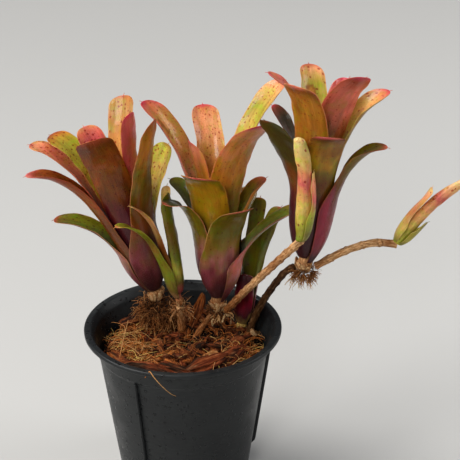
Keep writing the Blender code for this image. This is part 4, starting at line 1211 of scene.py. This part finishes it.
def leaf_finish(name, shared, gloss, spot_cell, vein, dusty):
    """Waxy leaf: tint, lengthwise veins, dark spots and pale scurf that grows towards the foot."""
    made, graph, shader = finish_of(name)
    tint, grain = graph.read("tint").outputs["Color"], graph.read("grain").outputs["Vector"]
    marks = graph.split(graph.read("marks").outputs["Vector"])
    lines = use(graph, shared["streaks"], Grain=grain, Fineness=1.9, Stretch=16.0)
    mottle = use(graph, shared["crumbs"], Place=grain, Fineness=0.28)
    elsewhere = graph.vector("ADD", grain, (50.0, 9.0, 4.0))
    patches = use(graph, shared["crumbs"], Place=elsewhere, Fineness=0.17)["Tone"]
    spots = shared["spots"]
    dots, specks = (
        use(graph, spots, Grain=grain, Share=graph.math("MULTIPLY", marks[0], more), Cell=cell)["Mask"]
        for more, cell in ((1.5, spot_cell), (1.6, 0.45 * spot_cell)))
    grooves = graph.math("MAXIMUM", graph.math("MULTIPLY", lines["Lines"], vein),
                         graph.math("MULTIPLY", lines["Broad"], 0.5))
    skin = tint
    for share, cast in (
            (grooves, VEIN),
            (graph.span(patches, 0.35, 0.9, 0.0, 0.72), OLIVE_CAST),
            (graph.math("MULTIPLY", mottle["Tone"], 0.48), WARM_CAST),
            (graph.math("MULTIPLY", dots, 0.92), SPOT),
            (graph.math("MULTIPLY", specks, 0.7), SPECK)):
        skin = graph.mix(share, skin, graph.mix(1.0, tint, cast, "MULTIPLY"))
    dust = use(graph, shared["streaks"], Grain=grain, Fineness=3.4, Stretch=1.4)["Lines"]
    scurf = graph.math("MULTIPLY", marks[1], graph.span(dust, 0.35, 1.0, 0.0, dusty))
    skin = graph.mix(scurf, skin, colour("scurf"))
    rough = graph.math("ADD", graph.span(mottle["Tone"], 0.0, 1.0, gloss, gloss + 0.16),
                       graph.math("MULTIPLY", scurf, 0.8), clamp=True)
    height = graph.math("ADD", graph.math("MULTIPLY", lines["Lines"], 0.6),
                        graph.math("MULTIPLY", dots, -0.5))
    bump = graph.add("ShaderNodeBump", {"Height": height, "Strength": 0.5, "Distance": 0.0004})
    plug(graph, shader, Base_Color=skin, Roughness=rough, Normal=bump.outputs[0],
         Subsurface_Weight=0.14, Subsurface_Radius=(1.0, 0.45, 0.18), Subsurface_Scale=0.0016,
         Specular_IOR_Level=0.13, IOR=1.45, Coat_Weight=0.32, Coat_Roughness=0.15)
    return made


# Painted shade: what the grooves between fibres multiply the fibres' own colour by
HUSK_GROOVE_SHADE, ROOT_GROOVE_SHADE = (0.30, 0.22, 0.16, 1.0), (0.50, 0.40, 0.30, 1.0)
BARK_GROOVE_SHADE, THREAD_GROOVE_SHADE = (0.46, 0.36, 0.26, 1.0), (0.66, 0.56, 0.44, 1.0)


def fibrous_finish(name, shared, fineness, stretch, depth, roughness, gap):
    """Husk, bark or root: tint darkened as painted shade where the fibre lines run low, rough and deeply
    grained.
    """
    made, graph, shader = finish_of(name)
    tint, grain = graph.read("tint").outputs["Color"], graph.read("grain").outputs["Vector"]
    lines = use(graph, shared["streaks"], Grain=grain, Fineness=fineness, Stretch=stretch)
    crumbs = use(graph, shared["crumbs"], Place=grain, Fineness=0.9)
    # Painted shade: gap is the colour that the low grooves between fibre lines multiply the tint by
    dark = graph.mix(1.0, tint, gap, "MULTIPLY")
    pale = graph.mix(0.35, tint, colour("skin"))
    base = graph.mix(graph.span(lines["Lines"], 0.15, 0.8), dark, tint)
    base = graph.mix(graph.math("MULTIPLY", graph.span(lines["Lines"], 0.75, 1.0), 0.5), base, pale)
    base = graph.mix(graph.math("MULTIPLY", crumbs["Tone"], 0.35), base, dark)
    height = graph.math("ADD", lines["Lines"], graph.math("MULTIPLY", crumbs["Height"], 0.8))
    bump = graph.add("ShaderNodeBump", {"Height": height, "Strength": 0.7, "Distance": depth})
    rough = graph.span(lines["Broad"], 0.0, 1.0, roughness - 0.12, roughness + 0.08)
    plug(graph, shader, Base_Color=base, Roughness=rough, Normal=bump.outputs[0],
         Specular_IOR_Level=0.12, IOR=1.45)
    return made


# The plastic's own colour, and what its bloom, its scuffs and its wet specks turn it to
PLASTIC, BLOOM = (0.0050, 0.0058, 0.0066, 1.0), (0.0150, 0.0168, 0.0170, 1.0)
SCUFF, WET = (0.05, 0.054, 0.054, 1.0), (0.003, 0.0035, 0.004, 1.0)


def plastic_finish(shared):
    """Black moulded plastic: a dusty bloom, fine scuffs round the wall and raised wet specks, most at -X."""
    made, graph, shader = finish_of("pot_plastic")
    place_at = graph.add("ShaderNodeTexCoord").outputs["Object"]
    millimetres = graph.vector("MULTIPLY", place_at, (1000.0, 1000.0, 1000.0))
    bloom = use(graph, shared["crumbs"], Place=millimetres, Fineness=0.05)
    level = graph.vector("MULTIPLY", millimetres, (0.12, 0.12, 1.0))
    scuffs = use(graph, shared["streaks"], Grain=level, Fineness=1.6, Stretch=1.0)["Lines"]
    drops = use(graph, shared["spots"], Grain=millimetres, Share=0.8, Cell=3.0)["Mask"]
    wet = graph.math("MULTIPLY", drops, graph.span(graph.split(millimetres)[0], 25.0, -25.0, 0.25, 1.0))
    base = PLASTIC
    for mask, share, tone in ((bloom["Tone"], 0.55, BLOOM), (scuffs, 0.14, SCUFF), (wet, 0.55, WET)):
        base = graph.mix(graph.math("MULTIPLY", mask, share), base, tone)
    rough = graph.math("SUBTRACT", graph.span(bloom["Tone"], 0.0, 1.0, 0.34, 0.50),
                       graph.math("MULTIPLY", wet, 0.26))
    height = graph.math("ADD", wet, graph.math("MULTIPLY", bloom["Height"], 0.07))
    bump = graph.add("ShaderNodeBump", {"Height": height, "Strength": 1.0, "Distance": 0.0009})
    plug(graph, shader, Base_Color=base, Roughness=rough, Normal=bump.outputs[0],
         Specular_IOR_Level=0.24, IOR=1.5)
    return made


def make_finishes():
    """All the materials by name; leaf finishes go by the record's slot names."""
    shared = {"streaks": streaks_effect(), "spots": spots_effect(), "crumbs": crumbs_effect()}
    return {
        "left_leaves": leaf_finish("leaf_left", shared, 0.34, 2.3, 0.62, 0.20),
        "centre_leaves": leaf_finish("leaf_centre", shared, 0.34, 2.2, 0.56, 0.24),
        "right_leaves": leaf_finish("leaf_right", shared, 0.32, 2.3, 0.60, 0.12),
        "back_leaves": leaf_finish("leaf_back", shared, 0.36, 2.4, 0.45, 0.2),
        "pup_leaves": leaf_finish("leaf_pup", shared, 0.38, 2.0, 0.55, 0.2),
        "front_shoot": leaf_finish("shoot_front", shared, 0.40, 2.3, 0.42, 0.2),
        "side_shoot": leaf_finish("shoot_side", shared, 0.40, 2.3, 0.42, 0.2),
        "bark": fibrous_finish("runner_bark", shared, 1.4, 4.0, 0.0003, 0.68, BARK_GROOVE_SHADE),
        "root": fibrous_finish("root_skin", shared, 1.2, 5.0, 0.0002, 0.8, ROOT_GROOVE_SHADE),
        "thread": fibrous_finish("husk_thread", shared, 1.2, 5.0, 0.0001, 0.7, THREAD_GROOVE_SHADE),
        "husk": fibrous_finish("husk_fibre", shared, 1.5, 9.0, 0.0006, 0.82, HUSK_GROOVE_SHADE),
        "crumb": fibrous_finish("mix_crumb", shared, 0.9, 2.0, 0.0010, 0.88, HUSK_GROOVE_SHADE),
        "plastic": plastic_finish(shared),
    }


# =========================== stage =================================================
# Lights: kind, place, size (an angle in radians for the sun, else metres), power and colour
LIGHTS = {
    "sky": ("SUN", (-0.45, 0.22, 0.85), 0.6, 2.55, (1.0, 0.99, 0.97)),
    "key": ("AREA", (-1.25, -0.45, 1.05), 0.9, 18.0, (1.0, 0.985, 0.96)),
    "side": ("AREA", (1.25, 0.15, 0.75), 0.8, 8.5, (0.98, 0.99, 1.0)),
    "front": ("AREA", (-0.35, -1.35, 0.95), 0.5, 9.0, (1.0, 0.99, 0.97)),
}
LAMP_AIM = (0.03, 0.0, 0.13)               # the sun shines towards the origin
WORLD_TONE, WORLD_STRENGTH = (0.93, 0.95, 1.0, 1.0), 0.16
FLOOR_REACH, FLOOR_PAINT = 60.0, (0.45, 0.446, 0.434, 1.0)
# Camera: place in metres, tilt from straight down in degrees, lens and sensor in millimetres
CAMERA_PLACE, CAMERA_TILT = (0.0250, -0.6128, 0.4321), 64.92
CAMERA_LENS, CAMERA_SENSOR = 103.0, 36.0


def make_stage():
    """A pale floor, a soft sun and three soft lamps aimed at the plant, and the camera."""
    mesh = bpy.data.meshes.new("floor")
    corners = ((-1, -1), (1, -1), (1, 1), (-1, 1))
    mesh.from_pydata([(x * FLOOR_REACH, y * FLOOR_REACH, 0) for x, y in corners], [], [(0, 1, 2, 3)])
    made, graph, shader = finish_of("floor_paper")
    plug(graph, shader, Base_Color=FLOOR_PAINT, Roughness=0.9)
    mesh.materials.append(made)
    add_to_scene("floor", mesh)

    for name, (kind, place_at, size, power, tone) in LIGHTS.items():
        light = bpy.data.lights.new(name, kind)
        light.energy, light.color = power, tone
        if kind == "SUN":
            light.angle = size
        else:
            light.shape, light.size = "DISK", size
        lamp = add_to_scene(name, light)
        lamp.location = place_at
        aim = np.array(LAMP_AIM) * (kind == "AREA") - np.array(place_at)
        tilt, heading = np.arctan2(np.hypot(aim[0], aim[1]), -aim[2]), np.arctan2(-aim[0], aim[1])
        lamp.rotation_euler = (tilt, 0.0, heading)

    world = bpy.data.worlds.new("studio")
    world.use_nodes = True
    background = world.node_tree.nodes["Background"].inputs
    background["Color"].default_value = WORLD_TONE
    background["Strength"].default_value = WORLD_STRENGTH
    bpy.context.scene.world = world

    camera = bpy.data.cameras.new("camera")
    camera.lens, camera.sensor_width = CAMERA_LENS, CAMERA_SENSOR
    camera.clip_start, camera.clip_end = 0.05, 20.0
    eye = add_to_scene("camera", camera)
    eye.location = CAMERA_PLACE
    eye.rotation_euler = (np.radians(CAMERA_TILT), 0.0, 0.0)
    bpy.context.scene.camera = eye
    bpy.context.scene.view_settings.view_transform = "Standard"


# =========================== all together ==========================================
# Crowns: their rosette, the leaves that grow from them, and their colours from foot to top
CROWNS = {
    "left_crown": ("left", "left_leaf", "husk 0 skin_dark .15 skin .35 plum 1"),
    "centre_crown": ("centre", "centre_leaf", "husk 0 skin_dark .2 skin .36 mauve 1"),
    "right_crown": ("right", "right_leaf", "root_brown 0 skin_dark .12 skin .34 plum 1"),
    "back_crown": ("back", "back_leaf", "husk 0 straw .5 plum 1"),
    "pup_crown": ("pup", "pup_leaf", "husk 0 skin_dark .3 rose 1"),
}


def make_leaf_bases(rng, finish):
    """Dry feet of shed leaves: thin upright flakes round each crown, leaning out."""
    flakes = []
    for rosette_name, _, _ in CROWNS.values():
        rosette = ROSETTES[rosette_name]
        count = 11 if rosette.crown > 3.5 else 6
        for k in range(count):
            azimuth = 360 * (k + rng.uniform(-0.3, 0.3)) / count
            out = (rosette.crown - 0.5) * np.array([np.cos(np.radians(azimuth)), np.sin(np.radians(azimuth))])
            centre = place(rosette, np.array([out[0], out[1], rng.uniform(-3.2, -1.6)]))
            size = rng.uniform(0.75, 1.25, 3) * [2.9, 1.7, 0.3] * (rosette.crown / 4.2)
            turn = turned(azimuth, -rng.uniform(52, 78), rng.uniform(-25, 25))
            flakes.append(chip(centre, size, turn, 300 + 9 * k, CHIP_TONES[4], 14, 12))
    stands_for(piece("old_leaf_bases", merged(flakes), finish), "stems")


# Root tufts: CAD nodes they replace, then bunches of count, start, spread, length, droop, radius, colours
ROOT_TUFTS = {
    "right_root_fibres": (("right_root_tuft",), (
        (260, (64.0, -2.5, 123.0), (3.4, 3.4, 2.6), 6.8, 0.35, 0.27,
         "dark_bark 0 root_brown .35 husk .6 tan 1"),
        (60, (62.0, -3.5, 119.5), (3.2, 3.2, 1.4), 7.5, 1.0, 0.22, "root_brown 0 tan .5 root_pale 1"))),
    "centre_root_fibres": ((), (
        (90, (18.5, 15, 91.0), (3.6, 3.8, 1.6), 8.0, 0.9, 0.3, "dark_bark 0 root_brown .4 husk 1"),
        (34, (20.5, 11.5, 90.5), (3.4, 2.4, 1.2), 8.5, 0.7, 0.34, "husk 0 tan .3 root_pale 1"))),
    "left_root_fibres": ((), (
        (520, (-13.5, 16.5, 92), (6.6, 5.5, 6.6), 13.0, 0.6, 0.27,
         "mix_dark 0 root_brown .4 husk .75 tan 1"),)),
    "pup_root_fibres": ((), (
        (60, (-1.2, 8.5, 95.5), (2.6, 2.6, 2.0), 9.0, 0.3, 0.3, "husk 0 skin_dark .5 skin 1"),)),
}


def make_roots(rng, finish):
    """Every root tuft, each one piece of five-sided tubes."""
    for name, (nodes, bunches) in ROOT_TUFTS.items():
        tubes = merged(strands(*hanging_roots(rng, *bunch), 5) for bunch in bunches)
        stands_for(piece(name, tubes, finish), "roots", *nodes)


SEED = 20240611


def main():
    """The whole plant and its stage; the random draws come in the order of these lines."""
    rng = np.random.default_rng(SEED)
    finishes = make_finishes()
    make_pot(finishes["plastic"])
    make_mix(finishes["crumb"])
    make_chips(rng, finishes["husk"])
    make_fibres(rng, finishes["thread"])
    make_long_fibres(finishes["thread"])
    make_leaves(finishes)
    for name, (rosette, family, colours) in CROWNS.items():
        leaves = [leaf for leaf, _ in LEAVES[family][2]]
        make_crown(name, ROSETTES[rosette], leaves, colours, finishes["bark"])
    for name, (sections, tip, bend, colours) in SHOOTS.items():
        make_shoot(name, ROSETTES[name], sections, tip, bend, colours, finishes[name])
    for name, (route, radius, spacing, colours) in RUNNERS.items():
        make_runner(name, route, radius, spacing, colours, finishes["bark"])
    make_roots(rng, finishes["root"])
    make_leaf_bases(rng, finishes["bark"])
    make_stage()


main()
